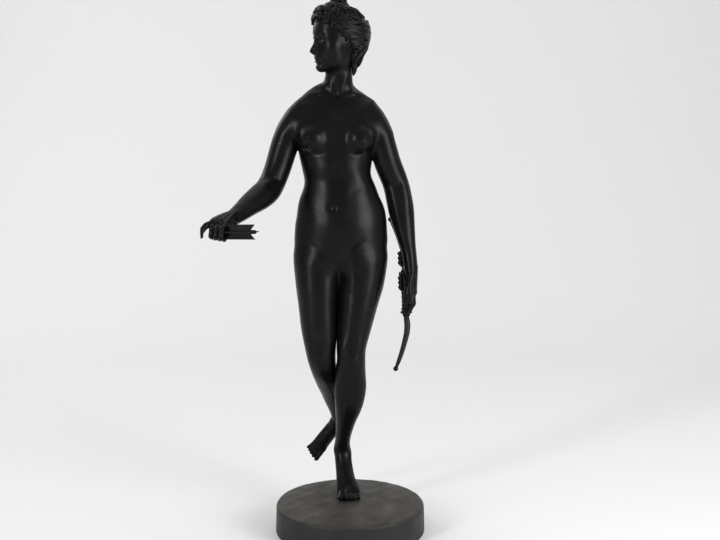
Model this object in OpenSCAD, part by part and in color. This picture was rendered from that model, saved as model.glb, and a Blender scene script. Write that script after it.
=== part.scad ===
// Bronze statuette of a striding huntress on a round base.
// The figure is an assembly of castings. Each limb and the head plug into the torso with a round
// spigot in a bored socket and a cross pin, and one threaded stud and one dowel hold the standing
// foot on the hollow base.
// Millimetres. +Z up, -Y in front of the figure, +X to the figure's left.
// The origin is the centre of the base's rest face.

/* [Base] */
// Outer diameter of the base at its foot
base_d = 151; // [146:1:160]
// Height of the base at its middle
base_h = 31.5; // [31:0.5:32]
// Fall of the top from the middle to the rim
dome_fall = 3; // [2:0.5:4]
// Thickness of the base's top and side wall
base_wall = 4; // [3:0.5:5]
// Radius of the rounded upper edge
edge_r = 3; // [1.5:0.5:4]

/* [Fixings] */
// Diameter of the threaded stud that holds the foot
stud_d = 6; // [5:0.5:6]
// Diameter of the dowel that stops the foot from turning
dowel_d = 3; // [2.5:0.5:3.5]
// Width of the nut across its flats
nut_af = 10; // [9:0.5:11]
// Diameter of the cross pins in the joints
pin_d = 2.5; // [2:0.25:3]

/* [Joints] */
// Radial gap between a spigot and its socket
joint_gap = 0.1; // [0.05:0.01:0.15]
// Width of the seam line between two castings
seam = 0.15; // [0.1:0.05:0.3]
// Diameter of the thigh spigots
thigh_spigot_d = 24; // [20:1:26]
// Diameter of the arm spigots
arm_spigot_d = 13; // [11:1:15]
// Diameter of the neck spigot
neck_spigot_d = 15; // [12:1:17]
// Wall thickness of the hollow castings
casting_wall = 3.5; // [3:0.25:4.5]

/* [Bow and arrow] */
// Length of the bow from tip to tip
bow_len = 156; // [150:1:160]
// Diameter of the bow's grip inside the hand
grip_d = 8.4; // [7:0.2:9]
// Diameter of the arrow shaft
shaft_d = 3.6; // [3:0.2:4]
// Length of a vane along the arrow
vane_len = 23; // [20:1:24]
// Height of a vane above the shaft
vane_h = 5.2; // [4:0.2:6]
// Thickness of a vane
vane_t = 1.2; // [1:0.1:1.6]

/* [Hidden] */

bronze = [0.16, 0.15, 0.14];
worn_bronze = [0.25, 0.22, 0.18];
brass = [0.72, 0.58, 0.30];
steel = [0.55, 0.55, 0.56];
sides = 24;
finger_sides = 8;
big = 400;

// A station is [x, y, z, side, front, back]: a point on a limb's centre line and the half widths of
// the oval section there, to both sides, to the front and to the back.
trunk = [
    [-9, 13, 266, 26, 14, 20], [-9, 13, 278, 41, 25, 27], [-9, 13, 290, 46.6, 29, 27],
    [-9, 12, 304, 46.3, 29.5, 25], [-9, 12, 316, 45.2, 29, 23], [-10.3, 11, 330, 42, 27.5, 21],
    [-11, 10, 344, 37, 26, 20], [-12, 9.5, 355, 33.2, 25, 20.5],
    [-13, 9.5, 367, 34.5, 25.5, 22.5], [-13.4, 9.5, 380, 37, 26, 24.5],
    [-13.5, 9.5, 394, 39.5, 26, 26], [-13.5, 10, 408, 41, 24.5, 26], [-13.4, 11, 420, 41, 20.5, 24],
    [-13, 12, 429, 38.5, 16, 20], [-12.6, 12.5, 436, 33, 13, 16.5], [-12.1, 12, 442, 25, 12.5, 14],
    [-11.4, 10.5, 448, 15.5, 12.5, 13], [-10.8, 9, 455, 13.4, 12.5, 12.5],
    [-10.5, 7.5, 464, 13, 12.5, 12.5], [-10.5, 6.5, 474, 13, 13, 13]
];
neck_station = 16;

standing_leg = [
    [15, 13, 290, 21, 22, 24], [13.3, 12, 272, 23.5, 24, 24.5], [11.4, 10.5, 256, 23.6, 24, 22.5],
    [9.2, 9, 242, 22.2, 23, 21], [7.4, 7, 228, 19.8, 21, 19.3], [4, 4.5, 206, 17.1, 17.5, 16],
    [1.4, 2, 188, 14.9, 14.5, 13.5], [1.1, 1.8, 174, 14.3, 13.5, 13], [0.3, 6, 158, 15.6, 12.5, 15],
    [0, 10, 143, 16.2, 12, 16.8], [-1.4, 14, 126, 14.2, 11, 15], [-4.8, 23.5, 106, 10.2, 9.2, 11.6],
    [-7.6, 33.5, 87, 8, 8, 9.4], [-8.6, 39.5, 75, 8.2, 8, 11], [-8, 40, 65, 8.6, 8.5, 12.5],
    [-6.4, 32.5, 53, 9, 8, 9.5], [-4.6, 22, 43.5, 10, 7.5, 8.5], [-2.6, 13.5, 37.5, 11.8, 5.5, 7.5],
    [-1.2, 5, 34.5, 11.6, 3.6, 5], [-1, -1, 33.5, 9, 2.5, 3.5]
];
trailing_leg = [
    [-33, 13, 290, 21, 22, 24], [-32.7, 12.5, 272, 23.3, 24, 24.5], [-32, 11.5, 256, 23.3, 24, 22.5],
    [-31.7, 10.5, 242, 22, 23, 21], [-31.4, 9, 228, 20.4, 21, 19.3], [-30.6, 7, 206, 18.6, 18, 16],
    [-29.8, 6.5, 188, 16, 15.5, 14], [-28.7, 7.5, 175, 14.3, 14, 13], [-26.6, 14, 163, 13.2, 12.5, 14],
    [-22.6, 27, 151, 14, 12, 15.6], [-18.6, 40, 139, 14.2, 11.5, 15.6], [-16, 54, 123, 12, 10, 12.6],
    [-14, 67, 108, 9.2, 8.6, 9.6], [-13, 76, 97, 8, 8, 9], [-16, 81, 88, 8, 7.8, 12],
    [-22, 84, 79.5, 8.2, 7, 8.6], [-28.6, 86.5, 70.5, 8.4, 5.6, 6.8], [-34.6, 88, 62.5, 8.2, 4.4, 5],
    [-38.6, 89, 56.5, 7.2, 3, 3.6]
];
thigh_station = 3;

right_arm = [
    [-46, 11, 416, 14, 14, 14], [-54, 10, 409, 14.3, 14.6, 14.4], [-60.3, 9, 398, 14, 14.4, 14],
    [-65, 8, 386, 13.6, 14, 13.6], [-71, 5, 366, 13, 13.4, 13.4], [-76.4, 0, 351.5, 12.8, 13, 13.4],
    [-81, -9, 343, 13.2, 12.4, 12.2], [-87.5, -21, 337, 12.8, 11.6, 11.8],
    [-95, -34, 331, 11, 10, 10.4], [-101.5, -46, 325, 9.4, 8, 8.4],
    [-107, -57, 320.5, 8.6, 6.4, 6.6], [-111.5, -65.5, 318.5, 9.6, 5.6, 6],
    [-115.5, -73.5, 316.2, 10.8, 4.8, 5.2], [-118, -78.5, 314.2, 9.8, 3.6, 3.6]
];
left_arm = [
    [16, 11, 416, 14, 14, 14], [23.6, 10, 409, 14.3, 14.6, 14.4], [29.2, 10, 398, 13.8, 14.4, 14],
    [33.2, 11, 385, 13.4, 14, 13.6], [37.7, 12.5, 370, 13.3, 13.4, 13.4],
    [45.6, 16, 350, 13, 12.6, 13.4], [49.5, 15, 333, 13.1, 12.4, 12.6],
    [51.8, 14, 320, 12.6, 12, 11.6], [55.2, 12, 302, 10, 10, 9.6], [58.6, 10.5, 284, 7.5, 8.8, 8.6],
    [60.2, 10, 272, 7.2, 9.6, 9.2], [61, 10, 261, 6.6, 10.6, 10], [61.6, 10, 251, 5.6, 11, 10.6],
    [62, 10, 243, 4.6, 10.6, 10.2], [62, 10.2, 238, 3.5, 9.7, 9.5]
];
right_arm_station = 3;
left_arm_station = 4;

// Joint lengths
thigh_spigot_len = 12;
arm_spigot_len = 11;
neck_spigot_len = 12;
bore_beyond = 6;
neck_core_d = 7;

// Stud and dowel under the standing foot
stud_at = [-3.5, 13];
dowel_at = [-2, 2];
stud_in_foot = 6.5;
dowel_in_foot = 2.5;
boss_r = 21;
boss_t = 3;
pad_r = 22;
washer_t = 1.2;
washer_d = 13;
nut_t = 5;
snug = 0.05;

// The arrow, from its nock to its inner end in the right fist
arrow_nock = [-86.5, -92, 308.7];
arrow_end = [-126, -73.5, 307.5];
nock_len = 4;
vane_count = 4;

// The bow: middle of its string line, its tilts, and how far the grip stands off that line
bow_middle = [43, 10, 240.5];
bow_tilt_back = 14;
bow_tilt_side = 1.8;
grip_off = 12.8;
grip_half = 22;
collar_d = 12.4;
collar_w = 4;
tang_d = 3.6;
tang_len = 8;
tip_r = 2.5;
// A bow limb as [share of the half length, offset from the string line, half width, half depth]
limb = [
    [0.27, 12.1, 2.4, 2.3], [0.34, 12.9, 2.9, 2.4], [0.42, 13.3, 3.1, 2.3], [0.52, 12.4, 2.9, 2.1],
    [0.61, 10.5, 2.7, 1.9], [0.7, 8.4, 2.5, 1.8], [0.79, 6, 2.3, 1.7], [0.88, 3.2, 2, 1.6],
    [0.95, 0.7, 1.6, 1.5], [0.99, 0.2, 1.5, 1.4]
];

// The head
head_at = [-10.5, 4, 492.5];
head_turn = -62;
knot_at = [-11, 5, 519];
knot_spigot_d = 9;
knot_spigot_len = 5;

function unit(v) = v / norm(v);
function at(s) = [s[0], s[1], s[2]];
function on_curve(a, b, c, d, t) =
    0.5 * (2 * b + (c - a) * t + (2 * a - 5 * b + 4 * c - d) * t * t
           + (3 * b - a - 3 * c + d) * t * t * t);
// Stations with n - 1 new ones between each pair, on a smooth curve
function smoothed(st, n) = [
    for (i = [0 : len(st) - 2])
        for (k = [0 : n - 1])
            on_curve(st[max(i - 1, 0)], st[i], st[i + 1], st[min(i + 2, len(st) - 1)], k / n),
    st[len(st) - 1]
];
function heading(st, i) = unit(at(st[min(i + 1, len(st) - 1)]) - at(st[max(i - 1, 0)]));
function squared(v, t) = unit(v - (v * t) * t);
// One oval ring around station i, pushed along the limb by ahead
function ring(st, i, facing, m, inset, ahead) =
    let (t = heading(st, i), fore = squared(facing, t), across = cross(fore, t))
    [for (k = [0 : m - 1])
        let (a = 360 * k / m, depth = sin(a) > 0 ? st[i][4] : st[i][5])
        at(st[i]) + ahead * t + across * (st[i][3] - inset) * cos(a) + fore * (depth - inset) * sin(a)];
function strip(i, m) = [
    for (k = [0 : m - 1])
        let (a = i * m + k, b = i * m + (k + 1) % m)
        each [[a, a + m, b + m], [a, b + m, b]]
];

// A closed skin through stations first to last
module skin(st, first, last, facing = [0, -1, 0], m = sides, inset = 0, gap = 0) {
    points = [for (i = [first : last]) each ring(st, i, facing, m, inset, i == first ? gap : 0)];
    rings = last - first + 1;
    faces = [
        [for (k = [0 : m - 1]) k],
        for (i = [0 : rings - 2]) each strip(i, m),
        [for (k = [m - 1 : -1 : 0]) (rings - 1) * m + k]
    ];
    polyhedron(points = points, faces = faces, convexity = 6);
}

// Puts its children at a station, with +Z along the limb and +Y towards its front
module at_station(st, i, facing = [0, -1, 0]) {
    t = heading(st, i);
    fore = squared(facing, t);
    across = cross(fore, t);
    p = at(st[i]);
    multmatrix([
        [across.x, fore.x, t.x, p.x],
        [across.y, fore.y, t.y, p.y],
        [across.z, fore.z, t.z, p.z],
        [0, 0, 0, 1]
    ]) children();
}

// Turns +Z to point along v
module along(v) {
    rotate([0, acos(v.z / norm(v)), atan2(v.y, v.x)]) children();
}

// Makes one closed skin of everything inside
module one_skin() { resize([0, 0, 0]) union() children(); }

module ball(p, r, n = 16) { translate(p) scale(r) sphere(r = 1, $fn = n); }

// A finger or toe along its joints, with a round tip
module digit(joints, r0, r1) {
    n = len(joints) - 1;
    stations = [for (i = [0 : n]) let (r = r0 + (r1 - r0) * i / n) concat(joints[i], [r, r, r])];
    fine = smoothed(stations, 2);
    skin(fine, 0, len(fine) - 1, [0.3, -0.5, 0.8], finger_sides);
    ball(joints[n], [r1, r1, r1], finger_sides);
}

// Limb lists with extra rings between the stations, so that each joint lies on a ring
steps = 2;
trunk_s = smoothed(trunk, steps);
standing_s = smoothed(standing_leg, steps);
trailing_s = smoothed(trailing_leg, steps);
right_arm_s = smoothed(right_arm, steps);
left_arm_s = smoothed(left_arm, steps);
thigh_i = thigh_station * steps;
right_arm_i = right_arm_station * steps;
left_arm_i = left_arm_station * steps;
neck_i = neck_station * steps;
front = [0, -1, 0];
hand_up = [0, -0.7, 0.7];

// ---- Joints ----
module spigot(st, i, facing, d, len, bore = 0) {
    at_station(st, i, facing)
        translate([0, 0, -len])
            difference() {
                cylinder(r = d / 2, h = len + 2, $fn = 64);
                translate([0, 0, -1]) cylinder(r = bore, h = len + 4, $fn = 64);
            }
}
module socket(st, i, facing, d, len) {
    at_station(st, i, facing)
        translate([0, 0, -len]) cylinder(r = d / 2 + joint_gap, h = len + 1, $fn = 64);
}
// A cross pin through a joint, from the back of the limb to a depth past the spigot's middle
module joint_pin(st, i, depth, len, r, past_back) {
    at_station(st, i, front)
        translate([0, -st[i][5] - past_back, -len / 2])
            rotate([-90, 0, 0]) cylinder(r = r, h = st[i][5] + past_back + depth, $fn = 32);
}
module neck_joint_pin(r, past) { joint_pin(trunk_s, neck_i, 0, neck_spigot_len, r, past); }
module right_arm_joint_pin(r, past) {
    joint_pin(right_arm_s, right_arm_i, arm_spigot_d / 2 + 1.5, arm_spigot_len, r, past);
}
module left_arm_joint_pin(r, past) {
    joint_pin(left_arm_s, left_arm_i, arm_spigot_d / 2 + 1.5, arm_spigot_len, r, past);
}
module standing_thigh_joint_pin(r, past) {
    joint_pin(standing_s, thigh_i, thigh_spigot_d / 2 + 1.5, thigh_spigot_len, r, past);
}
module trailing_thigh_joint_pin(r, past) {
    joint_pin(trailing_s, thigh_i, thigh_spigot_d / 2 + 1.5, thigh_spigot_len, r, past);
}
pin_sunk = -2;
pin_proud = 6;

// ---- Base ----
function dome_z(r) = r < pad_r ? base_h : base_h - dome_fall * pow((r - pad_r) / (base_d / 2 - pad_r), 2);
module base_profile() {
    rim = base_d / 2 - 0.8;
    edge = rim - edge_r;
    inner = base_d / 2 - base_wall;
    roof = base_h - dome_fall - base_wall;
    polygon(concat(
        [[0, base_h]],
        [for (r = [pad_r : 6 : edge - 2]) [r, dome_z(r)]],
        [for (a = [90 : -15 : 0]) [edge + edge_r * cos(a), dome_z(edge) - edge_r + edge_r * sin(a)]],
        [[base_d / 2, 3], [base_d / 2 - 0.6, 0], [inner, 0], [inner - 1, roof - 3], [inner - 4, roof],
         [boss_r, roof], [boss_r, roof - boss_t], [0, roof - boss_t]]
    ));
}
module foot_fixings(d_stud, d_dowel) {
    translate([stud_at.x, stud_at.y, 0]) cylinder(r = d_stud / 2, h = big, $fn = 48);
    translate([dowel_at.x, dowel_at.y, 0]) cylinder(r = d_dowel / 2, h = big, $fn = 48);
}
boss_bottom = base_h - dome_fall - base_wall - boss_t;
module base_casting() {
    color(worn_bronze)
        difference() {
            rotate_extrude($fn = 128) base_profile();
            translate([0, 0, -big / 2]) foot_fixings(stud_d + 2 * snug, dowel_d + 2 * snug);
        }
}
module foot_stud() {
    bottom = boss_bottom - washer_t - nut_t - 1.5;
    color(steel)
        translate([stud_at.x, stud_at.y, bottom])
            cylinder(r = stud_d / 2, h = base_h + stud_in_foot - bottom, $fn = 48);
}
module stud_washer() {
    color(steel)
        translate([stud_at.x, stud_at.y, boss_bottom - washer_t])
            difference() {
                cylinder(r = washer_d / 2, h = washer_t, $fn = 48);
                translate([0, 0, -1]) cylinder(r = stud_d / 2 + 0.2, h = washer_t + 2, $fn = 48);
            }
}
module stud_nut() {
    color(brass)
        translate([stud_at.x, stud_at.y, boss_bottom - washer_t - nut_t])
            difference() {
                cylinder(r = nut_af / sqrt(3), h = nut_t, $fn = 6);
                translate([0, 0, -1]) cylinder(r = stud_d / 2 + snug, h = nut_t + 2, $fn = 48);
            }
}
module foot_dowel() {
    color(steel)
        translate([dowel_at.x, dowel_at.y, boss_bottom])
            cylinder(r = dowel_d / 2, h = base_h + dowel_in_foot - boss_bottom, $fn = 48);
}

// ---- Torso ----
module shoulders() {
    ball([-50, 11, 413.5], [16.5, 15, 16.5]);
    ball([19, 11, 414.5], [16, 15, 16.5]);
}
module breasts() {
    ball([-37, -10, 396], [14.5, 15, 15]);
    ball([11.5, -10, 395], [14.5, 15, 15]);
}
module buttocks() {
    ball([-31, 23, 277], [22, 20, 22]);
    ball([13, 23, 279], [22, 20, 22]);
}
module torso_casting() {
    color(bronze)
        difference() {
            one_skin() {
                skin(trunk_s, 0, neck_i);
                skin(right_arm_s, 0, right_arm_i);
                skin(left_arm_s, 0, left_arm_i);
                skin(standing_s, 0, thigh_i);
                skin(trailing_s, 0, thigh_i);
                shoulders();
                breasts();
                buttocks();
            }
            one_skin() {
                skin(trunk_s, 2, neck_i - 6, inset = casting_wall);
                skin(standing_s, 0, thigh_i - 2, inset = casting_wall);
                skin(trailing_s, 0, thigh_i - 2, inset = casting_wall);
            }
            socket(trunk_s, neck_i, front, neck_spigot_d, neck_spigot_len + bore_beyond);
            socket(right_arm_s, right_arm_i, front, arm_spigot_d, arm_spigot_len + 1);
            socket(left_arm_s, left_arm_i, front, arm_spigot_d, arm_spigot_len + 1);
            socket(standing_s, thigh_i, front, thigh_spigot_d, thigh_spigot_len + bore_beyond);
            socket(trailing_s, thigh_i, front, thigh_spigot_d, thigh_spigot_len + bore_beyond);
            neck_joint_pin(pin_d / 2, pin_proud);
            right_arm_joint_pin(pin_d / 2, pin_proud);
            left_arm_joint_pin(pin_d / 2, pin_proud);
            standing_thigh_joint_pin(pin_d / 2, pin_proud);
            trailing_thigh_joint_pin(pin_d / 2, pin_proud);
        }
}
module neck_pin() { color(brass) neck_joint_pin(pin_d / 2, pin_sunk); }
module right_arm_pin() { color(brass) right_arm_joint_pin(pin_d / 2, pin_sunk); }
module left_arm_pin() { color(brass) left_arm_joint_pin(pin_d / 2, pin_sunk); }
module standing_thigh_pin() { color(brass) standing_thigh_joint_pin(pin_d / 2, pin_sunk); }
module trailing_thigh_pin() { color(brass) trailing_thigh_joint_pin(pin_d / 2, pin_sunk); }

// ---- Head ----
curl_r = 4;
module in_head() { translate(head_at) rotate([0, 0, head_turn]) children(); }
module hair_curls() {
    for (a = [-75 : 25 : 75])
        ball([18.5 * sin(a), -20.5 * cos(a) - 1, 14 + 3 * cos(a)], [curl_r, curl_r, curl_r], 8);
}
module head_form() {
    skin(trunk_s, neck_i, len(trunk_s) - 1, gap = seam);
    in_head() {
        ball([0, -2, 2], [20, 25, 27]);
        ball([0, -12, -13], [15, 14, 17]);
        ball([0, -26, -7], [2.6, 3, 5], 8);
        ball([0, 7, 2], [23.5, 25, 27]);
        ball([0, 17, -15], [13, 11, 12]);
        hair_curls();
    }
}
module head_casting() {
    color(bronze)
        difference() {
            union() {
                one_skin() head_form();
                spigot(trunk_s, neck_i, front, neck_spigot_d, neck_spigot_len);
            }
            neck_core();
            neck_joint_pin(pin_d / 2, pin_proud);
            translate(knot_at)
                translate([0, 0, -knot_spigot_len - 1])
                    cylinder(r = knot_spigot_d / 2 + joint_gap, h = big, $fn = 48);
        }
}
// The core hole runs from the neck spigot up to the vent in the crown
module neck_core() {
    foot = at(trunk_s[neck_i]) - (neck_spigot_len + 2) * heading(trunk_s, neck_i);
    top = knot_at - [0, 0, 2];
    translate(foot) along(top - foot) cylinder(r = neck_core_d / 2, h = norm(top - foot), $fn = 48);
}
module hair_knot() {
    color(bronze)
        union() {
            difference() {
                one_skin() {
                    for (a = [0 : 60 : 300])
                        ball(knot_at + [7 * cos(a), 7 * sin(a), 8], [5.5, 5.5, 6], 8);
                    ball(knot_at + [0, 0, 9], [9, 9, 8], 12);
                }
                one_skin() head_form();
            }
            translate(knot_at)
                translate([0, 0, -knot_spigot_len])
                    cylinder(r = knot_spigot_d / 2, h = knot_spigot_len + 10, $fn = 48);
        }
}

// ---- Legs ----
module standing_leg_casting() {
    last = len(standing_s) - 1;
    toes = [[-8.5, 3.1, 6], [-3.2, 2.5, 6.5], [1, 2.3, 6], [4.8, 2.1, 4.5], [8, 2, 2.5]];
    color(bronze)
        difference() {
            union() {
                one_skin()
                    difference() {
                        union() {
                            skin(standing_s, thigh_i, last, gap = seam);
                            for (t = toes)
                                digit([[t.x, 5.6, 35.2], [t.x * 1.05, 0.4, 34.6], [t.x * 1.1, -1 - t.z, 33.3]],
                                      t.y + 0.3, t.y);
                        }
                        translate([-big / 2, -big / 2, base_h - big]) cube(big);
                        skin(trailing_s, 0, thigh_i, inset = -snug);
                    }
                spigot(standing_s, thigh_i, front, thigh_spigot_d, thigh_spigot_len);
            }
            thigh_core(standing_s);
            standing_thigh_joint_pin(pin_d / 2, pin_proud);
            foot_holes();
        }
}
// The hollow runs from the spigot's mouth down the middle of the thigh
module thigh_core(st) {
    at_station(st, thigh_i, front)
        translate([0, 0, -thigh_spigot_len - 1])
            cylinder(r = thigh_spigot_d / 2 - casting_wall, h = thigh_spigot_len + 30, $fn = 64);
}
module foot_holes() {
    translate([stud_at.x, stud_at.y, base_h - 1])
        cylinder(r = stud_d / 2 + snug, h = stud_in_foot + 1, $fn = 48);
    translate([dowel_at.x, dowel_at.y, base_h - 1])
        cylinder(r = dowel_d / 2 + snug, h = dowel_in_foot + 1, $fn = 48);
}
module trailing_leg_casting() {
    last = len(trailing_s) - 1;
    toe_row = at(trailing_leg[len(trailing_leg) - 1]);
    // Toes from the big toe to the little toe as [across, radius, length]
    toes = [[5.4, 2.9, 8], [1.6, 2.4, 7.6], [-1.6, 2.2, 6.6], [-4.4, 2, 5.2], [-6.9, 1.9, 4]];
    across = unit([0.76, -0.1, -0.64]);
    ahead = unit([-0.62, 0.16, -0.77]);
    color(bronze)
        difference() {
            union() {
                one_skin() {
                    difference() {
                        skin(trailing_s, thigh_i, last, gap = seam);
                        skin(standing_s, 0, len(standing_s) - 1, inset = -snug);
                    }
                    for (t = toes)
                        digit([toe_row + across * t.x - ahead * 7, toe_row + across * t.x * 1.1,
                               toe_row + across * t.x * 1.15 + ahead * t.z], t.y + 0.3, t.y);
                }
                spigot(trailing_s, thigh_i, front, thigh_spigot_d, thigh_spigot_len);
            }
            thigh_core(trailing_s);
            trailing_thigh_joint_pin(pin_d / 2, pin_proud);
        }
}

// ---- Arms ----
module right_arm_casting() {
    last = len(right_arm_s) - 1;
    ahead = unit([-0.42, -0.86, -0.3]);
    thumbward = unit([0.87, -0.44, -0.1]);
    down = cross(thumbward, ahead);
    row = at(right_arm[len(right_arm) - 1]);
    color(bronze)
        difference() {
            union() {
                one_skin() {
                    skin(right_arm_s, right_arm_i, last, hand_up, gap = seam);
                    // Index, middle and ring fingers close over the arrow
                    for (k = [0 : 2])
                        let (p = row + thumbward * (6.5 - 5.2 * k) - ahead * 3)
                        digit([p, p + ahead * 9 + down * 1, p + ahead * 12 + down * 8,
                               p + ahead * 7 + down * 11.5], 3, 2.6);
                    // The little finger is held out
                    let (p = row - thumbward * 9 - ahead * 3)
                    digit([p, p + ahead * 9 - thumbward * 1.6, p + ahead * 15 - thumbward * 4 + down * 4,
                           p + ahead * 15.5 - thumbward * 4.5 + down * 8], 2.8, 2.2);
                    // The thumb lies along the near side of the fist
                    let (p = row + thumbward * 9 - ahead * 14)
                    digit([p, p + ahead * 8 + thumbward * 3 + down * 3, p + ahead * 15 + down * 6], 3.6, 2.8);
                }
                spigot(right_arm_s, right_arm_i, front, arm_spigot_d, arm_spigot_len);
            }
            right_arm_joint_pin(pin_d / 2, pin_proud);
            arrow_line(0, snug);
            vanes(vane_t + 2 * snug, snug);
        }
}
module left_arm_casting() {
    last = len(left_arm_s) - 1;
    row = at(left_arm[len(left_arm) - 1]);
    color(bronze)
        difference() {
            union() {
                one_skin() {
                    difference() {
                        skin(left_arm_s, left_arm_i, last, gap = seam);
                        skin(trunk_s, 0, neck_i, inset = -snug);
                        in_bow() limb_skin(1, -2 * snug);
                    }
                    // Four fingers close round the back of the grip
                    for (k = [0 : 3])
                        let (p = row + [0.6, -7.2 + 4.9 * k, 3])
                        digit([p, p + [0.6, 0, -10], p + [-2.6, 0, -15.5], p + [-8, 0, -17]], 3, 2.5);
                    // The thumb lies down the front of the grip
                    digit([row + [-1, -8, 22], row + [-3.5, -11.5, 13], row + [-5.5, -12, 3],
                           row + [-6.5, -10.5, -5]], 3.8, 2.9);
                }
                spigot(left_arm_s, left_arm_i, front, arm_spigot_d, arm_spigot_len);
            }
            left_arm_joint_pin(pin_d / 2, pin_proud);
            in_bow() grip_form(snug);
        }
}

// ---- Bow ----
module in_bow() {
    translate(bow_middle) rotate([-bow_tilt_back, -bow_tilt_side, 0]) children();
}
// The grip as a turned form: collars at both ends and a band between them
module grip_form(more) {
    r = grip_d / 2 + more;
    c = collar_d / 2 + more;
    end = grip_half + more;
    translate([grip_off, 0, 0])
        rotate_extrude($fn = 64)
            polygon([[0, -end], [r - 0.6, -end], [c - 1, -end + 0.8], [c, -end + collar_w / 2],
                     [c - 1, -end + collar_w], [r, -end + collar_w + 1], [r, end - collar_w - 1],
                     [c - 1, end - collar_w], [c, end - collar_w / 2], [c - 1, end - 0.8],
                     [r - 0.6, end], [0, end]]);
}
module tang_holes(more) {
    for (s = [-1, 1])
        translate([grip_off, 0, s * (grip_half - (tang_len - more) / 2)])
            cylinder(r = tang_d / 2 + more, h = tang_len + more, center = true, $fn = 32);
}
tang_pin_z = grip_half - tang_len / 2;
module tang_pins(r) {
    for (s = [-1, 1])
        translate([grip_off, -grip_d / 2 - 0.2, s * (tang_pin_z - 1)])
            rotate([-90, 0, 0]) cylinder(r = r, h = grip_d + 0.4, $fn = 24);
}
module bow_grip() {
    color(bronze)
        in_bow()
            difference() {
                grip_form(0);
                tang_holes(snug);
                tang_pins(0.6);
            }
}
module limb_skin(s, inset) {
    line = [for (p = limb) [p[1], 0, s * p[0] * bow_len / 2, p[2], p[3], p[3]]];
    fine = smoothed(line, 2);
    skin(fine, 0, len(fine) - 1, front, 12, inset);
}
module bow_limb(s) {
    difference() {
        union() {
            one_skin() {
                difference() {
                    limb_skin(s, 0);
                    translate([grip_off, 0, 0]) cube([20, 20, 2 * grip_half], center = true);
                }
                ball([0.2, 0, s * (bow_len / 2 - tip_r)], [tip_r, tip_r, tip_r], 10);
            }
            translate([grip_off, 0, s > 0 ? grip_half - tang_len : -grip_half - 1])
                cylinder(r = tang_d / 2, h = tang_len + 1, $fn = 32);
        }
        tang_pins(0.6);
    }
}
module bow_upper_limb() { color(bronze) in_bow() bow_limb(1); }
module bow_lower_limb() { color(bronze) in_bow() bow_limb(-1); }
module bow_tang_pin() { color(brass) in_bow() tang_pins(0.6); }

// ---- Arrow ----
// Puts its children at a distance from the nock, with +Z along the arrow
module on_arrow(d) {
    translate(arrow_nock + d * unit(arrow_end - arrow_nock)) along(arrow_end - arrow_nock) children();
}
module arrow_line(from, more) {
    on_arrow(from) cylinder(r = shaft_d / 2 + more, h = norm(arrow_end - arrow_nock) - from + more, $fn = 32);
}
module arrow_shaft() {
    color(bronze)
        difference() {
            arrow_line(0, 0);
            on_arrow(0) cube([0.9, shaft_d + 1, nock_len], center = true);
        }
}
// The vanes, each with a swallow-tail end towards the nock
module vanes(t, more) {
    top = shaft_d / 2 + vane_h + more;
    on_arrow(nock_len)
        for (k = [0 : vane_count - 1])
            rotate([90, 0, 360 / vane_count * k])
                translate([0, 0, -t / 2])
                    linear_extrude(height = t)
                        polygon([[0, 0], [0, vane_len + more], [top * 0.85, vane_len + more],
                                 [top, vane_len - 3], [top, -1], [top * 0.5, 3.5]]);
}
module arrow_vanes() {
    color(bronze)
        difference() {
            vanes(vane_t, 0);
            arrow_line(-2, 0);
        }
}

base_casting();
torso_casting();
head_casting();
hair_knot();
standing_leg_casting();
trailing_leg_casting();
right_arm_casting();
left_arm_casting();
foot_stud();
stud_washer();
stud_nut();
foot_dowel();
neck_pin();
right_arm_pin();
left_arm_pin();
standing_thigh_pin();
trailing_thigh_pin();
bow_grip();
bow_upper_limb();
bow_lower_limb();
bow_tang_pin();
arrow_shaft();
arrow_vanes();
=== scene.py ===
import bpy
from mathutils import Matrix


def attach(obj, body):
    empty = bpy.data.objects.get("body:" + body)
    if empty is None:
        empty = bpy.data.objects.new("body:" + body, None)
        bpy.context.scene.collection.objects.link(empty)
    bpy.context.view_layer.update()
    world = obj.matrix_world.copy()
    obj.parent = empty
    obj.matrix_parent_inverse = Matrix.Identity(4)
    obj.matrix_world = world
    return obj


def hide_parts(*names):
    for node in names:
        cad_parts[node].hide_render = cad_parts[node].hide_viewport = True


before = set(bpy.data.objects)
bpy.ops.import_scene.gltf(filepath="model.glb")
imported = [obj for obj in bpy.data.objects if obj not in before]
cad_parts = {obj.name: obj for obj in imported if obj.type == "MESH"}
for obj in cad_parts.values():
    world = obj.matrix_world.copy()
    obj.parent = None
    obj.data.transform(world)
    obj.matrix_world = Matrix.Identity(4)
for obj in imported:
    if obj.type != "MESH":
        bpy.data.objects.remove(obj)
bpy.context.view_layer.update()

import copy
import math
import random

import bmesh
import bpy
import numpy as np
import openvdb as vdb
from mathutils import Vector

MM = 0.001
FAR = 30.0
FRONT = np.array([0.0, -1.0, 0.0])
UP = np.array([0.0, 0.0, 1.0])
HAND_UP = np.array([0.0, -0.7, 0.7])
THIGH_SEAM_Z = 242
BASE_TOP = 31.5
# Scales every clay's voxel size; above 1 the clay is coarser. The quick export works in
# coarser clay
COARSE = 1.0

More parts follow.
